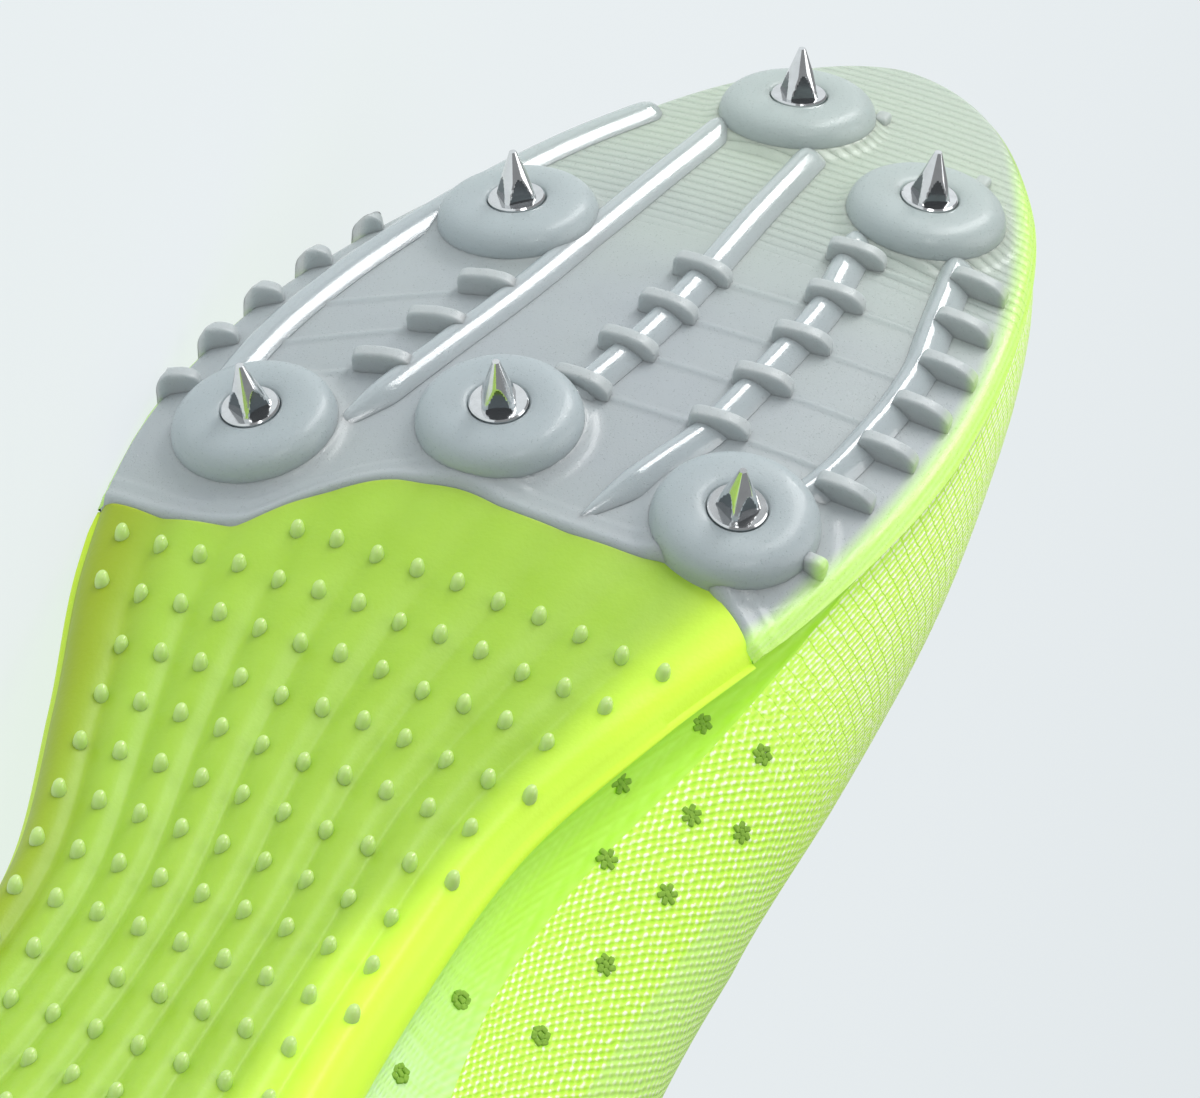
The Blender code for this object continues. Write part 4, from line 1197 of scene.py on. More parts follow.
def add_nub(surface, origin, axis, height):
    """Teardrop nub that leans towards the toe."""
    ahead, beside = axes_at(axis, TOEWARD)
    rise = np.linspace(0, math.pi / 2, NUB_STEPS)[:, None]
    around = np.linspace(0, 2 * math.pi, NUB_SIDES, endpoint=False)
    radius = np.cos(rise) ** NUB_FULLNESS
    along = radius * np.cos(around) * NUB_HALF_LENGTH + NUB_LEAN * np.sin(rise)
    across = radius * np.sin(around) * NUB_HALF_WIDTH
    out = np.repeat(np.sin(rise) * height, len(around), 1) - NUB_ROOT
    points = origin + along[..., None] * ahead + across[..., None] * beside + out[..., None] * axis
    surface.grid(points, NUB_FINISH, closed=True)


# The upper's crease: its height share, deeper on the medial side and towards the heel, and
# how far the lower wall is drawn in under it
CREASE_LEAST = 0.002
CREASE_MEDIAL = 0.023
CREASE_LATERAL = 0.010
CREASE_REAR = 0.020
CREASE_HEEL_ROWS = (1.0, 3.0)
CREASE_REAR_ROWS = (5.0, 6.5)
CREASE_TOE_ROWS = (8.0, 9.7)
TUCK_MEDIAL = 0.0012
TUCK_LATERAL = 0.0003
TUCK_FULLNESS = 0.8
UPPER_BACK_ROWS = 78
UPPER_THROAT_ROWS = 60
UPPER_FRONT_ROWS = 74
THROAT_CLOSING_POWER = 1.8
LOWER_WALL_STEPS = 9
OUTER_WALL_STEPS = 44
INNER_WALL_STEPS = 18
RIM_STEPS = 7
RIM_ROUNDNESS = 0.8
INNER_FOOT_INSET = 0.0014
INNER_FOOT_TOP = (0.05, 0.10)
UPPER_WELD = 0.00003
WALL_FINISH = 1
LINING_FINISH = 2


def tuck_share(row, side):
    """Height share of the crease between the tucked lower wall and the outer mesh."""
    reach = eased(*CREASE_HEEL_ROWS, row) * (1 - eased(*CREASE_TOE_ROWS, row))
    rear = CREASE_REAR * (1 - eased(*CREASE_REAR_ROWS, row))
    return CREASE_LEAST + (CREASE_MEDIAL + rear if side > 0 else CREASE_LATERAL) * reach


def tucked(row, side, height):
    """How far the lower wall is drawn in under the crease."""
    crease = tuck_share(row, side)
    depth = TUCK_MEDIAL if side > 0 else TUCK_LATERAL
    depth = depth * np.clip((crease - CREASE_LEAST) / CREASE_MEDIAL, 0, 1)
    share = np.clip(height / crease, 0, 1)
    return -depth * np.sin(math.pi * share) ** TUCK_FULLNESS


def upper_rows():
    """Stations of the upper, closer together round the end of the throat."""
    back = np.linspace(0, THROAT_TOP, UPPER_BACK_ROWS)[:-1]
    closing = 1 - (1 - np.linspace(0, 1, UPPER_THROAT_ROWS)) ** THROAT_CLOSING_POWER
    throat = THROAT_TOP + (THROAT_FRONT - THROAT_TOP) * closing
    front = np.linspace(THROAT_FRONT, LAST_ROW, UPPER_FRONT_ROWS)[1:]
    return np.concatenate([back, throat, front])


def build_upper(settings):
    """Mesh upper: tucked lower wall, outer mesh, rounded rim and lining."""
    surface = Surface()
    rows = upper_rows()
    grid_row = rows[:, None]
    open_rows = rows <= THROAT_FRONT
    for side in (LATERAL, MEDIAL):
        cut = cut_height(rows, side)[:, None]
        crease = np.minimum(tuck_share(rows, side)[:, None], cut)
        lower = crease * np.linspace(0, 1, LOWER_WALL_STEPS)
        higher = crease + (cut - crease) * np.linspace(0, 1, OUTER_WALL_STEPS)
        tuck = tucked(grid_row, side, lower)
        surface.grid(skin(grid_row, side, lower, tuck), WALL_FINISH)
        outer = skin(grid_row, side, higher, tucked(grid_row, side, higher))
        outer_index = surface.grid(outer)
        share = np.linspace(1, 0, INNER_WALL_STEPS)
        low_inside = INNER_FOOT_INSET * (1 - eased(*INNER_FOOT_TOP, cut * share))
        inner = skin(grid_row, side, cut * share, -wall(grid_row, share) - low_inside)
        inner_index = surface.grid(inner, LINING_FINISH)
        edge, lining = outer[open_rows, -1], inner[open_rows, 0]
        middle, half = (edge + lining) / 2, (edge - lining) / 2
        up = unit(edge - outer[open_rows, -3])
        bend = np.linspace(0, math.pi, RIM_STEPS)[1:-1, None, None]
        round_over = np.linalg.norm(half, axis=-1, keepdims=True) * RIM_ROUNDNESS
        rim = middle + half * np.cos(bend) + up * round_over * np.sin(bend)
        rim_index = surface.grid(rim, LINING_FINISH)
        outer_rim, inner_rim = outer_index[open_rows, -1], inner_index[open_rows, 0]
        surface.quads(np.stack([outer_rim, rim_index[0]]), LINING_FINISH)
        surface.quads(np.stack([rim_index[-1], inner_rim]), LINING_FINISH)
        foot = np.stack([skin(rows, side, 0.0), inner[:, -1]])
        surface.grid(foot, LINING_FINISH)
    finishes = [mesh_finish(settings), lower_wall_finish(settings), lining_finish(settings)]
    return surface.build("upper_mesh", finishes, "upper", weld=UPPER_WELD, sharp=60.0)


# The insole, the tongue and the overlay: their stations, how thin and how round their
# edges are, and how far under and over the overlay the eyelets' cutter reaches
INSOLE_STATIONS = ((0, 2, 24), (2, 15, 80), (15, 17, 24))
INSOLE_COLUMNS = 33
INSOLE_EDGE_POWER = 10
INSOLE_EDGE_SHARE = 0.6
TONGUE_LINES = 76
TONGUE_COLUMNS = 35
TONGUE_CORNER_ROWS = 0.7
TONGUE_CORNER_POWER = 1.6
TONGUE_TOP_ROWS = 0.25
TONGUE_TOP_POWER = 3
TONGUE_EDGE_POWER = 5
TONGUE_EDGE_SHARE = 0.35
FILM_SIDE_LINES = 44
FILM_TOE_LINES = 26
FILM_COLUMNS = 15
FILM_EDGE_POWER = 8
FILM_EDGE_SHARE = 0.25
FILM_UNDERSIDE = 0.0001
EYELET_CUT = (-0.005, 0.004)
EYELET_SIDES = 24
EYELET_WELD = 0.000001


def build_insole(settings):
    """Cloth-faced board inside the shoe."""
    surface = Surface()
    heel, middle, toe = (np.linspace(*stations) for stations in INSOLE_STATIONS)
    rows = np.concatenate([heel[:-1], middle, toe[1:]])
    ends = [
        edge_xy(rows, side) - outward(rows, side)[..., :2] * INSOLE_INSET
        for side in (LATERAL, MEDIAL)
    ]
    shares = np.linspace(0, 1, INSOLE_COLUMNS)[None, :, None]
    spot = ends[0][:, None] * (1 - shares) + ends[1][:, None] * shares
    base = raised(topside(*place_on_sole(spot[..., 0], spot[..., 1])), CLEARANCE)
    rim = 1 - np.abs(2 * shares[..., 0] - 1) ** INSOLE_EDGE_POWER
    thickness = INSOLE_THICKNESS * (INSOLE_EDGE_SHARE + (1 - INSOLE_EDGE_SHARE) * rim)
    surface.join_edges(surface.grid(base), surface.grid(raised(base, thickness)))
    return surface.build("insole_board", [insole_finish(settings)], "insole")


def build_tongue(settings):
    """Soft tongue with thin edges and a rounded top."""
    surface = Surface()
    rows = np.linspace(TONGUE_TOE_ROW, TONGUE_TOP_ROW, TONGUE_LINES)[:, None]
    narrow = eased(THROAT_TOP, TONGUE_TOE_ROW, rows)
    half = TONGUE_HALF_WIDTH + (TONGUE_TOE_HALF_WIDTH - TONGUE_HALF_WIDTH) * narrow
    corner = 1 - eased(TONGUE_TOP_ROW, TONGUE_TOP_ROW + TONGUE_CORNER_ROWS, rows)
    half = half - TONGUE_CORNER * corner**TONGUE_CORNER_POWER
    shares = np.linspace(-1, 1, TONGUE_COLUMNS)
    depth = UPPER_WALL + (COLLAR_WALL - UPPER_WALL) * collar_padding(rows) + TONGUE_GAP
    top = np.clip((TONGUE_TOP_ROW + TONGUE_TOP_ROWS - rows) / TONGUE_TOP_ROWS, 0, 1)
    middle = (1 - np.abs(shares) ** TONGUE_EDGE_POWER) * (1 - top**TONGUE_TOP_POWER)
    plump = TONGUE_EDGE_SHARE + (1 - TONGUE_EDGE_SHARE) * middle
    thin = TONGUE_THICKNESS * (1 - plump) / 2
    high = over_throat(rows, half * shares, -depth - thin)
    low = over_throat(rows, half * shares, -depth - TONGUE_THICKNESS + thin)
    surface.join_edges(surface.grid(low), surface.grid(high))
    return surface.build("tongue_mesh", [tongue_finish(settings)], "tongue")


def eyestay_lines():
    """Inner and outer end of each line across the overlay, as row and offset."""
    turn = EYESTAY_TURN_ROW
    inner = throat_gap(turn) + EYESTAY_EDGE
    rows = np.linspace(THROAT_TOP + EYESTAY_EDGE_ROWS, turn, FILM_SIDE_LINES)[:-1]
    start = throat_gap(rows) + EYESTAY_EDGE
    lines = np.stack([rows, start, rows, start + EYESTAY_WIDTH], -1)
    bend = np.linspace(math.pi / 2, 0, FILM_TOE_LINES)
    ahead = THROAT_FRONT + EYESTAY_EDGE_ROWS - turn
    curve = np.stack([
        turn + ahead * np.cos(bend),
        inner * np.sin(bend),
        turn + (ahead + EYESTAY_TOE_ROWS) * np.cos(bend),
        (inner + EYESTAY_WIDTH) * np.sin(bend),
    ], -1)
    lines = np.concatenate([lines, curve])
    return np.concatenate([lines[:-1] * (1, -1, 1, -1), lines[::-1]])


def eyelets():
    """Row and level offset of each eyelet, lateral ones negative."""
    rows = np.linspace(LACE_TOP_ROW, LACE_FRONT_ROW, LACE_ROWS)
    offsets = throat_gap(rows) + LACE_INSET
    return [(row, hand * offset) for row, offset in zip(rows, offsets) for hand in (-1, 1)]


def build_eyestay(settings):
    """Thin film overlay round the throat."""
    surface = Surface()
    lines = eyestay_lines()
    share = np.linspace(0, 1, FILM_COLUMNS)
    rows = lines[:, :1] + (lines[:, 2:3] - lines[:, :1]) * share
    offsets = lines[:, 1:2] + (lines[:, 3:4] - lines[:, 1:2]) * share
    edge = np.sqrt(1 - np.abs(2 * share - 1) ** FILM_EDGE_POWER)
    thickness = EYESTAY_THICKNESS * (FILM_EDGE_SHARE + (1 - FILM_EDGE_SHARE) * edge)
    high = over_throat(rows, offsets, CLEARANCE + thickness)
    low = over_throat(rows, offsets, FILM_UNDERSIDE)
    surface.join_edges(surface.grid(low), surface.grid(high))
    return surface.build("eyestay_film", [film_finish(settings)], "eyestay")


def cut_eyelets(pieces, settings):
    """Cuts the eyelet holes through the overlay and the upper's wall."""
    surface = Surface()
    for row, offset in eyelets():
        inside, outside = over_throat(row, offset, np.array(EYELET_CUT))
        axis = unit(outside - inside)
        length = np.linalg.norm(outside - inside)
        radius = settings.eyelet_radius
        add_turned(surface, [(radius, 0.0), (radius, length)], inside, axis, EYELET_SIDES)
    cutter = surface.build("eyelet_cutter", [], weld=EYELET_WELD)
    for piece in pieces:
        hole = piece.modifiers.new("Eyelets", "BOOLEAN")
        hole.operation = "DIFFERENCE"
        hole.object = cutter
        hole.solver = "EXACT"
        with bpy.context.temp_override(object=piece, active_object=piece):
            bpy.ops.object.modifier_apply(modifier=hole.name)
    bpy.data.objects.remove(cutter, do_unlink=True)


def build_laces(settings):
    """Flat lace that runs in and out of the eyelets."""
    surface = Surface()
    rows = np.linspace(LACE_TOP_ROW, LACE_FRONT_ROW, LACE_ROWS)
    strips = [(rows[-1], rows[-1], 1)]
    for upper_row, lower_row in zip(rows, rows[1:]):
        strips += [(lower_row, upper_row, 1), (lower_row, upper_row, -1)]
    for row_from, row_to, hand in strips:
        add_crossing(surface, row_from, row_to, hand)
    return surface.build("lace_woven", [lace_finish(settings)], "laces")


# A lace crossing: how it dips into the eyelets and rises where two cross
CROSSING_STEPS = 49
CROSSING_SIDES = 20
CROSSING_END_SHARE = 0.13
CROSSING_DEPTH = 0.0022
CROSSING_RISE = 0.0014
CROSSING_RISE_SHARE = 0.2
EYELET_HALF_WIDTH = 0.0015
LACE_FACE_POWER = 0.7
LACE_EDGE_POWER = 0.6
NORMAL_STEP = 0.001
ROW_STEP = 0.05


def add_crossing(surface, row_from, row_to, hand):
    """One crossing: up out of an eyelet, over the tongue, down into the next."""
    offset_from = -hand * (throat_gap(row_from) + LACE_INSET)
    offset_to = hand * (throat_gap(row_to) + LACE_INSET)
    share = np.linspace(0, 1, CROSSING_STEPS)
    row = row_from + (row_to - row_from) * share
    offset = offset_from + (offset_to - offset_from) * share
    end = np.clip(np.minimum(share, 1 - share) / CROSSING_END_SHARE, 0, 1)
    top = CLEARANCE + EYESTAY_THICKNESS + LACE_LIFT + CROSSING_DEPTH + LACE_THICKNESS / 2
    lift = -CROSSING_DEPTH + top * np.sqrt(1 - (1 - end) ** 2)
    if hand < 0:
        lift = lift + CROSSING_RISE * np.exp(-(((share - 0.5) / CROSSING_RISE_SHARE) ** 2))
    centre = over_throat(row, offset, lift)
    axis = unit(over_throat(row, offset, lift + NORMAL_STEP) - centre)
    ahead = unit(np.gradient(centre, axis=0))
    beside = unit(np.cross(over_throat(row + ROW_STEP, offset, lift) - centre, ahead))
    beside = unit(np.cross(ahead, beside))
    width = EYELET_HALF_WIDTH + (LACE_WIDTH / 2 - EYELET_HALF_WIDTH) * eased(0, 1, end)
    bend = np.linspace(0, 2 * math.pi, CROSSING_SIDES, endpoint=False)
    flat = powered(np.cos(bend), LACE_FACE_POWER)
    round_edge = powered(np.sin(bend), LACE_EDGE_POWER)
    normal = unit(np.cross(ahead, beside))
    normal = normal * np.sign((normal * axis).sum(-1, keepdims=True))
    points = centre[:, None] + beside[:, None] * (flat * width[:, None])[..., None]
    points = points + normal[:, None] * (round_edge * LACE_THICKNESS / 2)[None, :, None]
    index = surface.grid(points, closed=True)
    surface.face(index[0])
    surface.face(index[-1][::-1])


# The stitches: where their rows run on the overlay and the collar, their pitch and their
# length, width and height; and the thread dots, each a ring of loops round one in the middle
FILM_SEAM_SHARES = (0.12, 0.88)
COLLAR_SEAM_SHARE = 0.93
COLLAR_SEAM_SAMPLES = 160
COLLAR_SEAM_ROWS_SHORT = 0.1
STITCH_PITCH = 0.0028
STITCH_SIZE = (0.0021, 0.0005, 0.00025)
STITCH_AHEAD_STEP = 0.0005
STITCH_SQUARE = (1.0, 0.8)
THREAD_ROOT = 0.0002
DOT_LOOPS = 6
DOT_TURN = 57.0
DOT_HEIGHT = 0.00025

# The loops of a dot and the ring that they lie on, as shares of the dot's radius
DOT_LOOP_LENGTH = 0.8
DOT_LOOP_WIDTH = 0.55
DOT_RING = 0.66


def build_stitches(settings):
    """Rows of stitches along the overlay and under the collar's rim."""
    surface = Surface()
    lines = eyestay_lines()
    top = CLEARANCE + EYESTAY_THICKNESS
    for share in FILM_SEAM_SHARES:
        rows = lines[:, 0] + (lines[:, 2] - lines[:, 0]) * share
        offsets = lines[:, 1] + (lines[:, 3] - lines[:, 1]) * share
        line = over_throat(rows, offsets, top)
        add_stitch_row(surface, line, over_throat(rows, offsets, top + NORMAL_STEP))
    rows = np.linspace(0, THROAT_TOP - COLLAR_SEAM_ROWS_SHORT, COLLAR_SEAM_SAMPLES)
    for side in (LATERAL, MEDIAL):
        height = cut_height(rows, side) * COLLAR_SEAM_SHARE
        line = skin(rows, side, height)
        add_stitch_row(surface, line, skin(rows, side, height, NORMAL_STEP))
    return surface.build("stitches", [thread_finish(settings)])


def between(line, span, distance):
    """The point at this distance along a line of points."""
    return np.array([np.interp(distance, span, line[:, axis]) for axis in range(3)])


def add_stitch_row(surface, line, above):
    """Stitches at an even pitch along a line of points on the surface."""
    span = distance_along(line)
    for distance in np.arange(STITCH_PITCH / 2, span[-1], STITCH_PITCH):
        spot = between(line, span, distance)
        axis = unit(between(above, span, distance) - spot)
        ahead = unit(between(line, span, distance + STITCH_AHEAD_STEP) - spot)
        beside = unit(np.cross(axis, ahead))
        add_fin(
            surface, spot, axis, beside, STITCH_SIZE, root=THREAD_ROOT, square=STITCH_SQUARE
        )


def build_stitched_dots(settings):
    """Dark thread dots scattered over the medial side."""
    surface = Surface()
    radius = settings.dot_radius
    size = (radius * DOT_LOOP_LENGTH, radius * DOT_LOOP_WIDTH, DOT_HEIGHT)
    for row, height in STITCHED_DOTS:
        rows = np.array([row])
        sunk = tucked(rows, MEDIAL, np.array([height]))
        spot = skin(rows, MEDIAL, height, sunk)[0]
        axis = unit(skin(rows, MEDIAL, height, sunk + NORMAL_STEP)[0] - spot)
        ahead, beside = axes_at(axis, TOEWARD)
        for number in range(DOT_LOOPS + 1):
            angle = 2 * math.pi * number / DOT_LOOPS + row
            reach = radius * DOT_RING if number < DOT_LOOPS else 0.0
            shift = (ahead * math.cos(angle) + beside * math.sin(angle)) * reach
            loop_ahead = turned_about(ahead, axis, DOT_TURN * number)
            add_fin(surface, spot + shift, axis, loop_ahead, size, root=THREAD_ROOT)
    return surface.build("stitched_dots", [dot_finish(settings)])


FLANGE_BEVEL = 0.0002
CONE_FOOT_WIDER = 0.0002
CONE_STEPS = 30
SPIKE_SIDES = 64
FLAT_TIP_SHARE = 0.50
SPIKE_SHARP = 22.0


def build_spike(place, settings):
    """Steel spike: stud, flange and a cone with four sloping wrench flats."""
    surface = Surface()
    origin, axis = seat_of(place)
    floor = DOME_HEIGHT - RECESS_DEPTH + CLEARANCE
    base = floor + FLANGE_THICKNESS
    rim = FLANGE_RADIUS - FLANGE_BEVEL
    profile = [(STUD_RADIUS, floor - STUD_LENGTH), (STUD_RADIUS, floor), (rim, floor)]
    profile += [(FLANGE_RADIUS, floor + FLANGE_BEVEL), (FLANGE_RADIUS, base - FLANGE_BEVEL)]
    profile += [(rim, base), (SPIKE_BASE_RADIUS + CONE_FOOT_WIDER, base)]
    flats = [FLANGE_RADIUS] * len(profile)
    for share in np.linspace(0, 1, CONE_STEPS):
        radius = SPIKE_BASE_RADIUS + (SPIKE_TIP_RADIUS - SPIKE_BASE_RADIUS) * share
        profile.append((radius, base + SPIKE_LENGTH * share))
        flats.append(settings.flat_half_width * (1 - FLAT_TIP_SHARE * share))
    turn = math.radians(place.flat_turn)
    # The flats take a dark steel colour: painted dark reflection
    finishes = [
        steel_finish("bright steel", settings.colour),
        steel_finish("ground steel", settings.painted_dark_flat_colour),
    ]
    add_turned(surface, profile, origin, axis, SPIKE_SIDES, flats=flats, turn=turn)
    return surface.build(f"{place.name}_steel", finishes, place.name, sharp=SPIKE_SHARP)


# In millimetres in the shoe's own frame, as are those of the other finishes: where the
# plate turns from grey to clear towards the toe, where its neon band runs along the medial
# edge and ends near the toe, and where the toe's grooves begin
CLEAR_START_X = 206.0
CLEAR_FULL_X = 262.0
BAND_WIDEST_X = 212.0
BAND_WIDEST_Y = 44.7
BAND_CURVE = 0.0045
BAND_INNER = 4.0
BAND_OUTER = 0.9
BAND_FADE_X = 258.0
BAND_END_X = 276.0
GROOVE_START_X = 226.0
GROOVE_FULL_X = 234.0
GROOVE_SLANT = 0.08
BAND_THREAD_TURN = 12.0
PALE_THREAD = (0.9, 1.0, 0.6)


def plate_finish(settings, name, grey, roughness, coat, ladder=0.0, clear=0.3):
    """Milky grey plastic; the toe and the medial edge let the neon behind show through, and the
    medial neon band also has a painted glow.
    ladder is how much of the toe's grooves it has, clear how much green shows at the toe."""
    finish = Finish(
        name, grey, roughness,
        subsurface_weight=0.35, subsurface_radius=(0.8, 0.9, 0.9), subsurface_scale=0.003,
        coat_weight=coat, coat_roughness=0.06, emission_strength=0.16,
    )
    x, y, z = finish.place()
    cloud = finish.noise(0.05, 3.0)
    green = x.eased(CLEAR_START_X, CLEAR_FULL_X) * 0.7 + cloud * 0.3 - 0.12
    green = green.lesser(1.0).greater(0.0) * clear
    shade = finish.noise(0.25, 4.0) * 0.3
    colour = finish.mix(green, finish.mix(shade, grey, settings.rib_colour), settings.toe_colour)
    from_widest = x - BAND_WIDEST_X
    inside = BAND_WIDEST_Y - from_widest * from_widest * BAND_CURVE - y
    band = (inside + cloud * 0.8).eased(BAND_INNER, BAND_OUTER) * x.eased(BAND_END_X, BAND_FADE_X)
    threads = (run_round(y, z) * BAND_THREAD_TURN).sine() * 0.08 + finish.noise(1.4, 3.0) * 0.3
    neon = finish.mix(threads, settings.edge_colour, PALE_THREAD)
    finish.set("Base Color", finish.mix(band * 0.85, colour, neon))
    # Painted glow: the neon band along the medial edge gives off light of its own
    finish.set("Emission Color", finish.mix(band, BLACK, settings.edge_colour))
    sparkle = finish.noise(4.0, 1.0).eased(0.64, 0.72)
    finish.set("Roughness", roughness + finish.noise(0.6) * 0.1 - 0.05 - sparkle * 0.2)
    finish.set("Coat Weight", sparkle * 0.5 + coat)
    wave = math.pi / (settings.groove_pitch * MILLIMETRES)
    groove = ((x + y * GROOVE_SLANT) * wave).sine().absolute() ** 0.5
    grain = finish.noise(3.0, 3.0) * 0.10 + sparkle * 0.14
    grooves = groove * x.eased(GROOVE_START_X, GROOVE_FULL_X) * ladder
    finish.bump(grooves + grain, settings.groove_depth, 0.7)
    return finish


# Half the rear sole's width at the heel, how much of each millimetre it widens ahead of
# the waist, how far its middle lies to the lateral side, and how far its yellow and olive
# edges reach in
SOLE_HALF = 24.8
SOLE_WIDENING = 0.25
SOLE_WAIST_X = 100.0
SOLE_MIDDLE_Y = 8.0
EDGE_REACH = 12.0


def sole_finish(settings, name="green rubber", lift=0.0):
    """Translucent rubber, yellow at its medial edge with a painted glow there, olive at its lateral
    one; lift makes all of it yellower and spreads the painted glow over it."""
    finish = Finish(
        name, settings.colour, 0.42,
        subsurface_weight=0.3, subsurface_radius=(1.0, 1.2, 0.2), subsurface_scale=0.004,
        specular_ior_level=0.3, coat_weight=0.06, coat_roughness=0.25, emission_strength=0.30,
    )
    x, y, z = finish.place()
    half = (x - SOLE_WAIST_X).greater(0.0) * SOLE_WIDENING + SOLE_HALF
    medial = half - (y + SOLE_MIDDLE_Y)
    lateral = half + (y + SOLE_MIDDLE_Y)
    cloud = finish.noise(0.04, 2.0) * 5.0 - 2.5
    glow = ((medial + cloud).eased(EDGE_REACH, 1.0) + lift).lesser(1.0)
    olive = (lateral + cloud).eased(EDGE_REACH, 1.0) * 0.9
    green = finish.mix(finish.noise(0.15, 3.0), settings.colour, settings.light_colour)
    green = finish.mix(olive, green, settings.olive_colour)
    finish.set("Base Color", finish.mix(glow, green, settings.edge_colour))
    # Painted glow: the yellow medial edge gives off light of its own
    finish.set("Emission Color", finish.mix(glow, BLACK, settings.edge_colour))
    finish.set("Roughness", finish.noise(0.5) * 0.15 + 0.38)
    finish.bump(finish.noise(1.6, 3.0), 0.00006, 0.6)
    return finish


def side_finish(settings):
    """The rear sole's side wall, yellower than its underside and with more painted glow."""
    return sole_finish(settings, "green rubber side wall", 0.45)


def nub_finish(settings):
    """Glossy pale rubber of the nubs."""
    finish = Finish(
        "nub rubber", settings.nub_colour, 0.3,
        subsurface_weight=0.3, subsurface_radius=(1.0, 1.2, 0.4), subsurface_scale=0.002,
        coat_weight=0.3,
    )
    finish.place()
    cloud = finish.noise(0.3) * 0.5
    finish.set("Base Color", finish.mix(cloud, settings.nub_colour, settings.colour))
    return finish


# The level of the shoe's widest place, about half its width there, and how much slower the
# knit's wave runs along the shoe than round it
WIDEST_Z = 30.0
HALF_SECTION = 38.0
KNIT_ALONG = 0.6


def run_round(y, z):
    """Distance round the shoe's section, up from the level of its widest place."""
    return (z - WIDEST_Z).angle(y.absolute()) * HALF_SECTION


def knit(x, run, pitch):
    """Staggered dashes that run lengthwise, from 0 to 1."""
    turn = 2 * math.pi / pitch
    return (x * (turn * KNIT_ALONG)).sine() * (run * turn).sine() * 0.5 + 0.5


# The paler side panel: its lower border and how that slopes, and its front border
PANEL_LOW_Z = 26.8
PANEL_SLOPE = 0.17
PANEL_SLOPE_X = 142.2
PANEL_FRONT_X = 160.0
PANEL_FULL_X = 138.0


def side_panel(x, y, z):
    """1 on the paler panel of the medial side, behind the ball and above the crease."""
    above = z - PANEL_LOW_Z + (x - PANEL_SLOPE_X) * PANEL_SLOPE
    front = x.eased(PANEL_FRONT_X, PANEL_FULL_X)
    return above.eased(0.0, 0.5) * front * y.eased(2.0, 14.0)


# Where the mesh turns from dashes to ribs towards the toe, and from smooth to dashes
# ahead of the heel
RIBS_START_X = 150.0
RIBS_FULL_X = 178.0
HEEL_SMOOTH_X = 8.0
HEEL_FULL_X = 45.0


def mesh_finish(settings):
    """Neon mesh: rows of dashes, ribbed near the toe, with painted glints, painted shade low
    between the threads and a painted glow.
    """
    finish = Finish(
        "neon knitted mesh", settings.colour, 0.6,
        sheen_weight=0.3, sheen_roughness=0.4, emission_strength=0.22,
        subsurface_weight=0.1, subsurface_radius=(0.8, 1.0, 0.2), subsurface_scale=0.002,
    )
    x, y, z = finish.place()
    run = run_round(y, z)
    wavy = x + finish.noise(0.4, 2.0) * 1.2
    dashes = knit(wavy, run, settings.mesh_pitch * MILLIMETRES)
    line_turn = math.pi / (settings.rib_pitch * MILLIMETRES)
    line = (wavy * line_turn).sine().absolute().eased(-0.2, 0.3)
    thread_turn = 2 * math.pi / (settings.thread_pitch * MILLIMETRES)
    thread = (run * thread_turn).sine() * 0.5 + 0.5
    ribbed = line * (thread * 0.5 + 0.45)
    height = dashes + (ribbed - dashes) * x.eased(RIBS_START_X, RIBS_FULL_X)
    height = (height - 0.5) * x.eased(HEEL_SMOOTH_X, HEEL_FULL_X) + 0.5
    # Painted glints: near-white spots on the threads' tops
    shine = (height * 0.8 + finish.noise(1.7, 3.0) * 1.1).eased(1.0, 1.42)
    # Painted shade: darker colour low between the threads
    base = finish.mix(height.eased(0.1, 0.6), settings.painted_shade_colour, settings.colour)
    panel = side_panel(x, y, z)
    base = finish.mix(panel * 0.55, base, settings.panel_colour)
    # The painted glints go into the colour and into the painted glow
    finish.tint_with_painted_glow(finish.mix(shine * (0.9 - panel * 0.4), base, settings.glint_and_grain_colour))
    finish.set("Roughness", 0.7 - shine * 0.3)
    finish.bump(height, 0.00025, 0.9)
    return finish


# Where the painted minty sheen of the lower wall lies
MINT_FRONT_X = 124.0
MINT_FULL_FRONT_X = 84.0
MINT_FULL_REAR_X = 60.0
MINT_REAR_X = 20.0


def lower_wall_finish(settings):
    """Smooth film over the mesh on the tucked lower wall, with a painted minty sheen towards the
    heel, painted shade in its dashes and a painted glow.
    """
    finish = Finish(
        "smooth lower wall", settings.wall_colour, 0.4, sheen_weight=0.2, emission_strength=0.16,
        coat_weight=0.25, coat_roughness=0.3,
    )
    x, y, z = finish.place()
    dashes = knit(x * 0.5, run_round(y, z), settings.mesh_pitch * MILLIMETRES)
    streak = finish.noise(0.8, 3.0, (1.0, 0.12, 0.12))
    # Painted sheen: paler, minty streaks towards the heel
    mint = x.eased(MINT_FRONT_X, MINT_FULL_FRONT_X) * x.eased(MINT_REAR_X, MINT_FULL_REAR_X)
    mint = mint * (streak * 1.4 + 0.1).lesser(1.0)
    colour = finish.mix(mint, settings.wall_colour, settings.painted_sheen_colour)
    # Painted shade in the dashes, and the painted glow
    finish.tint_with_painted_glow(finish.mix(dashes * 0.4, colour, settings.painted_shade_colour))
    finish.set("Roughness", 0.45 - mint * 0.12)
    finish.bump(dashes, 0.0001, 0.7)
    return finish


# Pitches of the lining's loops and the tongue's holes, and turns of the weaves of insole
# and lace for each millimetre
LINING_PITCH = 1.0
TONGUE_PITCH = 1.6
INSOLE_WEAVE = 5.2
LACE_WEAVE = 6.5


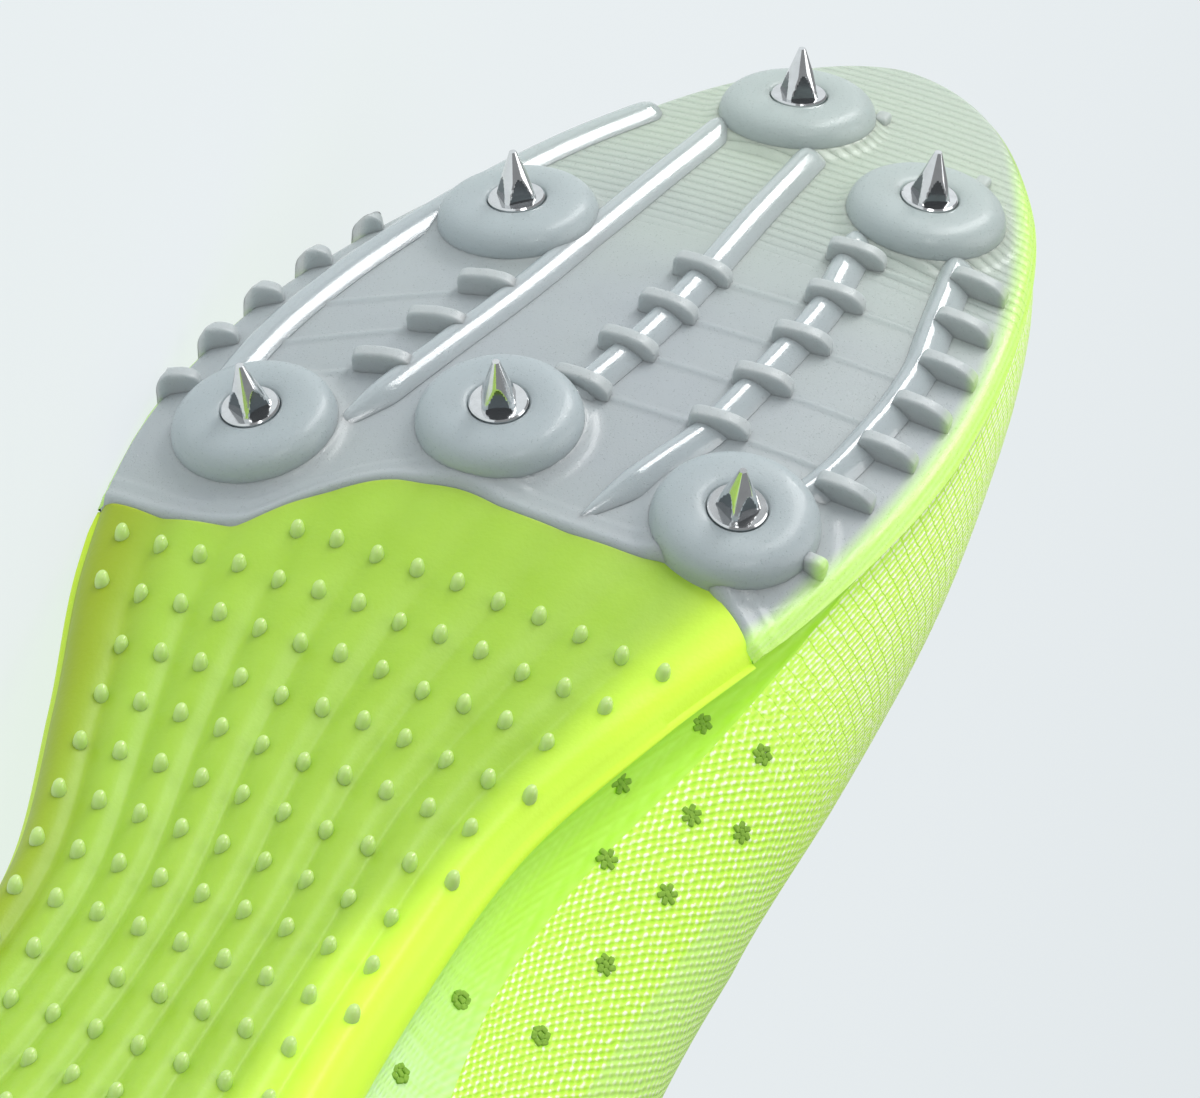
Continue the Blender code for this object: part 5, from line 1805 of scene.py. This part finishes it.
def lining_finish(settings):
    """Soft knitted lining."""
    finish = Finish("soft lining", settings.lining_colour, 0.85, sheen_weight=0.3)
    x, y, z = finish.place()
    loops = knit(x, run_round(y, z), LINING_PITCH)
    shaded = darker(settings.lining_colour, 0.7)
    finish.set("Base Color", finish.mix(loops, shaded, settings.lining_colour))
    finish.bump(loops, 0.00012, 0.8)
    return finish


def tongue_finish(settings):
    """Open mesh of the tongue, with painted shade in its holes and a painted glow."""
    finish = Finish("tongue mesh", settings.colour, 0.7, sheen_weight=0.3, emission_strength=0.08)
    x, y, _ = finish.place()
    turn = 2 * math.pi / TONGUE_PITCH
    holes = ((x * turn).sine() * (y * turn).sine()).eased(0.35, 0.8)
    # Painted shade: the holes are darker
    finish.tint_with_painted_glow(finish.mix(holes, settings.colour, settings.painted_shade_colour))
    finish.bump(1 - holes, 0.0003, 0.8)
    return finish


def insole_finish(settings):
    """Woven cloth of the insole."""
    finish = Finish("insole cloth", settings.insole_colour, 0.9, sheen_weight=0.2)
    x, y, _ = finish.place()
    weave = (x * INSOLE_WEAVE).sine() * (y * INSOLE_WEAVE).sine() * 0.5 + 0.5
    speck = finish.noise(0.8, 3.0)
    shaded = darker(settings.insole_colour, 0.6)
    share = weave * 0.6 + speck * 0.4
    finish.set("Base Color", finish.mix(share, shaded, settings.insole_colour))
    finish.bump(weave, 0.0001, 0.8)
    return finish


def film_finish(settings):
    """Smooth film of the overlay round the throat."""
    film = settings.film_colour
    finish = Finish("overlay film", film, 0.38, coat_weight=0.3, coat_roughness=0.25)
    finish.place()
    grain = finish.noise(1.5, 3.0)
    finish.set("Base Color", finish.mix(grain * 0.3, film, settings.glint_and_grain_colour))
    finish.bump(grain, 0.00008, 0.6)
    return finish


def lace_finish(settings):
    """Crosswise weave of the lace, darker in the weave's hollows as painted shade, with a painted
    glow.
    """
    finish = Finish("woven lace", settings.colour, 0.75, sheen_weight=0.3, emission_strength=0.08)
    x, y, _ = finish.place()
    weave = ((x + y) * LACE_WEAVE).sine() * ((x - y) * LACE_WEAVE).sine() * 0.5 + 0.5
    # Painted shade in the weave's hollows, and the painted glow
    finish.tint_with_painted_glow(finish.mix(weave, darker(settings.colour, 0.6), settings.colour))
    finish.bump(weave, 0.00018, 0.8)
    return finish


def thread_finish(settings):
    """Thread of the stitches."""
    finish = Finish("stitch thread", settings.thread_colour, 0.6, sheen_weight=0.3)
    finish.place()
    cloud = finish.noise(2.0)
    finish.set("Base Color", finish.mix(cloud, settings.thread_colour, settings.colour))
    return finish


def dot_finish(settings):
    """Dark thread of the dots."""
    finish = Finish("dark thread dot", settings.dot_colour, 0.7)
    finish.place()
    cloud = finish.noise(2.5) * 0.5
    finish.set("Base Color", finish.mix(cloud, settings.dot_colour, settings.colour))
    return finish


def steel_finish(name, steel):
    """Bright steel with faint wear."""
    finish = Finish(name, steel, 0.12, metallic=1.0)
    finish.place()
    wear = finish.noise(0.8, 4.0)
    finish.set("Base Color", finish.mix(wear * 0.6, steel, darker(steel, 0.6)))
    finish.set("Roughness", wear * 0.16 + 0.05)
    return finish


def floor_finish(settings):
    """Pale floor that glows a little, so that only faint shadows show on it."""
    finish = Finish("pale floor", settings.floor_shade, 0.95, emission_strength=1.0)
    spot = finish.node("ShaderNodeTexCoord", {}, {}, output=3)
    grain = finish.node("ShaderNodeTexNoise", {}, {"Vector": spot, "Scale": 3.0})
    glow = settings.floor_glow
    finish.set("Emission Color", finish.mix(grain, glow, darker(glow, 0.99)))
    return finish


# The photograph's view: the picture's right and up, and the way back to the camera, in the
# shoe's own frame, from the turn of the toe to the picture and the height over the sole
VIEW_TURN = math.radians(67.0)
VIEW_HEIGHT = math.radians(41.0)
VIEW_DISTANCE = 0.680
VIEW_LENS = 166.3
BALL_POINT = np.array([0.205, 0.0, 0.0])
BALL_RIGHT_OF_MIDDLE = 0.00245
BALL_ABOVE_MIDDLE = 0.0269


def view_axes():
    """Picture's right, picture's up and the way to the camera."""
    right = np.array([math.cos(VIEW_TURN), math.sin(VIEW_TURN), 0.0])
    back = np.array([
        -math.sin(VIEW_TURN) * math.cos(VIEW_HEIGHT),
        math.cos(VIEW_TURN) * math.cos(VIEW_HEIGHT),
        -math.sin(VIEW_HEIGHT),
    ])
    return right, np.cross(back, right), back


def add_camera():
    """Camera at the photograph's view."""
    right, up, back = (axis @ LAY_TURN.T for axis in view_axes())
    place = BALL_POINT @ LAY_TURN.T + LAY_SHIFT + back * VIEW_DISTANCE
    place = place - right * BALL_RIGHT_OF_MIDDLE - up * BALL_ABOVE_MIDDLE
    data = bpy.data.cameras.new("camera")
    data.lens = VIEW_LENS
    data.sensor_width = 36.0
    data.clip_start = 0.01
    camera = bpy.data.objects.new("camera", data)
    turn = Matrix(np.stack([right, up, back], 1).tolist()).to_4x4()
    camera.matrix_world = Matrix.Translation(place.tolist()) @ turn
    bpy.context.scene.collection.objects.link(camera)
    bpy.context.scene.camera = camera


def add_light(name, place, target, size, power):
    """Soft rectangular light that faces the target."""
    data = bpy.data.lights.new(name, "AREA")
    data.shape = "RECTANGLE"
    data.size, data.size_y = size
    data.energy = power
    light = bpy.data.objects.new(name, data)
    light.location = place
    light.rotation_euler = (Vector(place) - target).to_track_quat("Z", "Y").to_euler()
    bpy.context.scene.collection.objects.link(light)


# Each light's size is its width and depth, and power names its setting
Lamp = namedtuple("Lamp", "name place size power")
LAMPS = (
    Lamp("overhead softbox", (-0.35, -0.30, 1.1), (1.0, 0.7), "key_power"),
    Lamp("toe softbox", (-0.85, -0.90, 0.36), (1.0, 0.30), "strip_power"),
    Lamp("sole softbox", (0.35, -1.2, 0.5), (0.5, 0.3), "fill_power"),
)
LAMP_TARGET_Z = 0.04
FLOOR_HALF = 3.0
FLOOR_DROP = 0.0002


def build_stage(settings):
    """Pale floor, soft lights, pale world and the camera."""
    scene = bpy.context.scene
    scene.view_settings.view_transform = "Standard"
    mesh = bpy.data.meshes.new("floor")
    signs = ((-1, -1), (1, -1), (1, 1), (-1, 1))
    corners = [(x * FLOOR_HALF, y * FLOOR_HALF, -FLOOR_DROP) for x, y in signs]
    mesh.from_pydata(corners, [], [(0, 1, 2, 3)])
    mesh.materials.append(floor_finish(settings).material)
    floor = bpy.data.objects.new("floor", mesh)
    scene.collection.objects.link(floor)
    add_camera()
    target = Vector(((CAD_LOW.x + CAD_HIGH.x) / 2, 0.0, LAMP_TARGET_Z))
    for lamp in LAMPS:
        add_light(lamp.name, lamp.place, target, lamp.size, getattr(settings, lamp.power))
    world = bpy.data.worlds.new("pale studio")
    world.use_nodes = True
    background = world.node_tree.nodes["Background"]
    background.inputs["Color"].default_value = (*settings.world_colour, 1.0)
    background.inputs["Strength"].default_value = settings.world_strength
    scene.world = world


def length_property(name, description, default):
    """A setting in metres."""
    return bpy.props.FloatProperty(
        name=name, description=description, default=default, min=0.0, unit="LENGTH", precision=5
    )


def colour_property(name, description, default):
    """A colour setting."""
    return bpy.props.FloatVectorProperty(
        name=name, description=description, default=default, size=3, subtype="COLOR",
        min=0.0, max=1.0,
    )


def power_property(name, description, default):
    """A setting in watts."""
    return bpy.props.FloatProperty(
        name=name, description=description, default=default, min=0.0, unit="POWER"
    )


class PlateSettings(bpy.types.PropertyGroup):
    """Sizes and colours of the forefoot plate."""

    columns: bpy.props.IntProperty(
        name="Columns", description="Coarse columns over the plate's width", default=24, min=4
    )
    lines: bpy.props.IntProperty(
        name="Lines", description="Lines of faces from rear edge to toe", default=236, min=20
    )
    lip: length_property("Lip", "How far the plate's thin edge laps back", 0.0003)
    dome_fillet: length_property("Dome Fillet", "Reach of the fillet round a dome", 0.0026)
    rib_lateral: length_property("Rib Lateral", "From a rib's crown to its steep side", 0.0016)
    rib_medial: length_property("Rib Medial", "From a rib's crown to its shallow side", 0.0030)
    rib_taper: length_property("Rib Taper", "How far a rib tapers at its heel end", 0.009)
    step_height: length_property("Step Height", "Height of the fine lines", 0.00032)
    groove_pitch: length_property("Groove Pitch", "Pitch of the toe's grooves", 0.0017)
    groove_depth: length_property("Groove Depth", "Depth of the toe's grooves", 0.00045)
    colour: colour_property("Colour", "Grey of the plate", (0.385, 0.42, 0.44))
    toe_colour: colour_property("Toe Colour", "Where the green behind shows", (0.52, 0.62, 0.47))
    dome_colour: colour_property("Dome Colour", "Grey of the domes", (0.39, 0.445, 0.465))
    rib_colour: colour_property("Rib Colour", "Grey of the ribs", (0.42, 0.47, 0.49))
    lug_colour: colour_property("Lug Colour", "Grey of the lugs", (0.43, 0.46, 0.465))
    edge_colour: colour_property("Edge Colour", "Neon of the thin edge", (0.50, 0.88, 0.09))


class RearSoleSettings(bpy.types.PropertyGroup):
    """Sizes and colours of the rear sole."""

    nub_spacing: length_property("Nub Spacing", "Distance across between nubs", 0.0054)
    nub_line_spacing: length_property("Nub Line Spacing", "Distance along between nubs", 0.0078)
    nub_height: length_property("Nub Height", "Height of a nub", 0.0015)
    colour: colour_property("Colour", "Green of the middle", (0.34, 0.565, 0.035))
    light_colour: colour_property("Light Colour", "Paler clouds in the middle", (0.42, 0.66, 0.08))
    olive_colour: colour_property("Olive Colour", "Olive of the lateral edge", (0.31, 0.40, 0.008))
    edge_colour: colour_property("Edge Colour", "Yellow of the medial edge", (0.58, 0.86, 0.05))
    nub_colour: colour_property("Nub Colour", "Green of the nubs", (0.58, 0.80, 0.28))


class UpperSettings(bpy.types.PropertyGroup):
    """Sizes and colours of the upper, tongue, insole and overlay."""

    mesh_pitch: length_property("Mesh Pitch", "Pitch of the knit's dashes", 0.0011)
    rib_pitch: length_property("Rib Pitch", "Pitch of the ribs near the toe", 0.0021)
    thread_pitch: length_property("Thread Pitch", "Pitch of the threads in a rib", 0.0005)
    dot_radius: length_property("Dot Radius", "Radius of a stitched dot", 0.0013)
    eyelet_radius: length_property("Eyelet Radius", "Radius of the lace holes", 0.0018)
    colour: colour_property("Colour", "Neon of the mesh", (0.60, 0.94, 0.11))
    # Painted shade between the mesh's threads, in the lower wall's dashes and in the tongue's holes
    painted_shade_colour: colour_property("Shade Colour", "Painted shade of threads and holes", (0.44, 0.84, 0.03))
    # Painted glints of the mesh; also the pale grain of the overlay film
    glint_and_grain_colour: colour_property("Glint Colour", "Painted glints, and film grain", (0.96, 1.0, 0.80))
    wall_colour: colour_property("Wall Colour", "Tucked lower wall", (0.45, 0.82, 0.04))
    # Painted sheen of the lower wall
    painted_sheen_colour: colour_property("Mint Colour", "Minty painted sheen", (0.66, 0.90, 0.60))
    lining_colour: colour_property("Lining Colour", "Lining inside", (0.45, 0.72, 0.10))
    insole_colour: colour_property("Insole Colour", "Cloth of the insole", (0.42, 0.47, 0.45))
    panel_colour: colour_property("Panel Colour", "Paler side panel", (0.50, 0.78, 0.22))
    film_colour: colour_property("Film Colour", "Overlay round the throat", (0.50, 0.86, 0.12))
    thread_colour: colour_property("Thread Colour", "Stitches", (0.40, 0.72, 0.06))
    dot_colour: colour_property("Dot Colour", "Stitched dots", (0.12, 0.29, 0.01))


class LaceSettings(bpy.types.PropertyGroup):
    """Colour of the laces."""

    colour: colour_property("Colour", "Woven lace", (0.66, 0.94, 0.22))


class SpikeSettings(bpy.types.PropertyGroup):
    """Sizes and colour of the spikes."""

    flat_half_width: length_property("Flat Half Width", "Half the width over the flats", 0.0021)
    colour: colour_property("Colour", "Polished steel", (0.84, 0.85, 0.86))
    # The flats' dark colour is painted dark reflection
    painted_dark_flat_colour: colour_property("Flat Colour", "Painted dark reflection of the flats", (0.20, 0.21, 0.22))


class StageSettings(bpy.types.PropertyGroup):
    """Floor, lights and world."""

    floor_shade: colour_property("Floor Shade", "How the floor takes the light", (0.12, 0.12, 0.12))
    floor_glow: colour_property("Floor Glow", "Even light of the floor", (0.70, 0.745, 0.765))
    world_colour: colour_property("World Colour", "Light from all round", (0.95, 0.98, 1.0))
    world_strength: bpy.props.FloatProperty(
        name="World Strength", description="Strength of the light from all round", default=0.30,
        min=0.0,
    )
    key_power: power_property("Key Power", "Power of the overhead softbox", 4.5)
    strip_power: power_property("Strip Power", "Power of the toe softbox", 9.0)
    fill_power: power_property("Fill Power", "Power of the sole softbox", 2.6)


class SPIKESHOE_OT_plate(bpy.types.Operator):
    """Build the forefoot plate"""

    bl_idname = "spike_shoe.plate"
    bl_label = "Forefoot Plate"

    def execute(self, context):
        build_plate(context.scene.spike_shoe_plate)
        return {"FINISHED"}


class SPIKESHOE_OT_rear_sole(bpy.types.Operator):
    """Build the rear sole with its flutes and nubs"""

    bl_idname = "spike_shoe.rear_sole"
    bl_label = "Rear Sole"

    def execute(self, context):
        build_rear_sole(context.scene.spike_shoe_rear_sole)
        return {"FINISHED"}


class SPIKESHOE_OT_upper(bpy.types.Operator):
    """Build the upper and the overlay round its throat, with eyelet holes"""

    bl_idname = "spike_shoe.upper"
    bl_label = "Upper and Overlay"

    def execute(self, context):
        settings = context.scene.spike_shoe_upper
        upper = build_upper(settings)
        eyestay = build_eyestay(settings)
        cut_eyelets([upper, eyestay], settings)
        build_stitches(settings)
        build_stitched_dots(settings)
        return {"FINISHED"}


class SPIKESHOE_OT_inside(bpy.types.Operator):
    """Build the insole and the tongue"""

    bl_idname = "spike_shoe.inside"
    bl_label = "Insole and Tongue"

    def execute(self, context):
        settings = context.scene.spike_shoe_upper
        build_insole(settings)
        build_tongue(settings)
        return {"FINISHED"}


class SPIKESHOE_OT_laces(bpy.types.Operator):
    """Build the lace through the eyelets"""

    bl_idname = "spike_shoe.laces"
    bl_label = "Laces"

    def execute(self, context):
        build_laces(context.scene.spike_shoe_laces)
        return {"FINISHED"}


class SPIKESHOE_OT_spikes(bpy.types.Operator):
    """Build the steel spikes"""

    bl_idname = "spike_shoe.spikes"
    bl_label = "Spikes"

    def execute(self, context):
        for place in SPIKE_SEATS:
            build_spike(place, context.scene.spike_shoe_spikes)
        return {"FINISHED"}


class SPIKESHOE_OT_stage(bpy.types.Operator):
    """Add the floor, lights, world and camera"""

    bl_idname = "spike_shoe.stage"
    bl_label = "Stage"

    def execute(self, context):
        build_stage(context.scene.spike_shoe_stage)
        return {"FINISHED"}


OPERATORS = (
    SPIKESHOE_OT_plate,
    SPIKESHOE_OT_rear_sole,
    SPIKESHOE_OT_upper,
    SPIKESHOE_OT_inside,
    SPIKESHOE_OT_laces,
    SPIKESHOE_OT_spikes,
    SPIKESHOE_OT_stage,
)

SETTINGS = {
    "spike_shoe_plate": PlateSettings,
    "spike_shoe_rear_sole": RearSoleSettings,
    "spike_shoe_upper": UpperSettings,
    "spike_shoe_laces": LaceSettings,
    "spike_shoe_spikes": SpikeSettings,
    "spike_shoe_stage": StageSettings,
}


class SPIKESHOE_PT_sidebar(bpy.types.Panel):
    """Lists the pieces and their settings."""

    bl_idname = "SPIKESHOE_PT_sidebar"
    bl_label = "Spike Shoe"
    bl_space_type = "VIEW_3D"
    bl_region_type = "UI"
    bl_category = "Spike Shoe"

    def draw(self, context):
        layout = self.layout
        for operator in OPERATORS:
            layout.operator(operator.bl_idname)
        for name, group in SETTINGS.items():
            box = layout.box()
            box.label(text=group.__name__)
            for key in group.__annotations__:
                box.prop(getattr(context.scene, name), key)


def register():
    """Adds the settings, operators and panel."""
    for name, group in SETTINGS.items():
        bpy.utils.register_class(group)
        setattr(bpy.types.Scene, name, bpy.props.PointerProperty(type=group))
    for operator in OPERATORS:
        bpy.utils.register_class(operator)
    bpy.utils.register_class(SPIKESHOE_PT_sidebar)


def unregister():
    """Takes them out again."""
    bpy.utils.unregister_class(SPIKESHOE_PT_sidebar)
    for operator in reversed(OPERATORS):
        bpy.utils.unregister_class(operator)
    for name, group in SETTINGS.items():
        delattr(bpy.types.Scene, name)
        bpy.utils.unregister_class(group)


def main():
    register()
    bpy.ops.spike_shoe.plate()
    bpy.ops.spike_shoe.rear_sole()
    bpy.ops.spike_shoe.upper()
    bpy.ops.spike_shoe.inside()
    bpy.ops.spike_shoe.laces()
    bpy.ops.spike_shoe.spikes()
    bpy.ops.spike_shoe.stage()


if __name__ == "__main__":
    main()
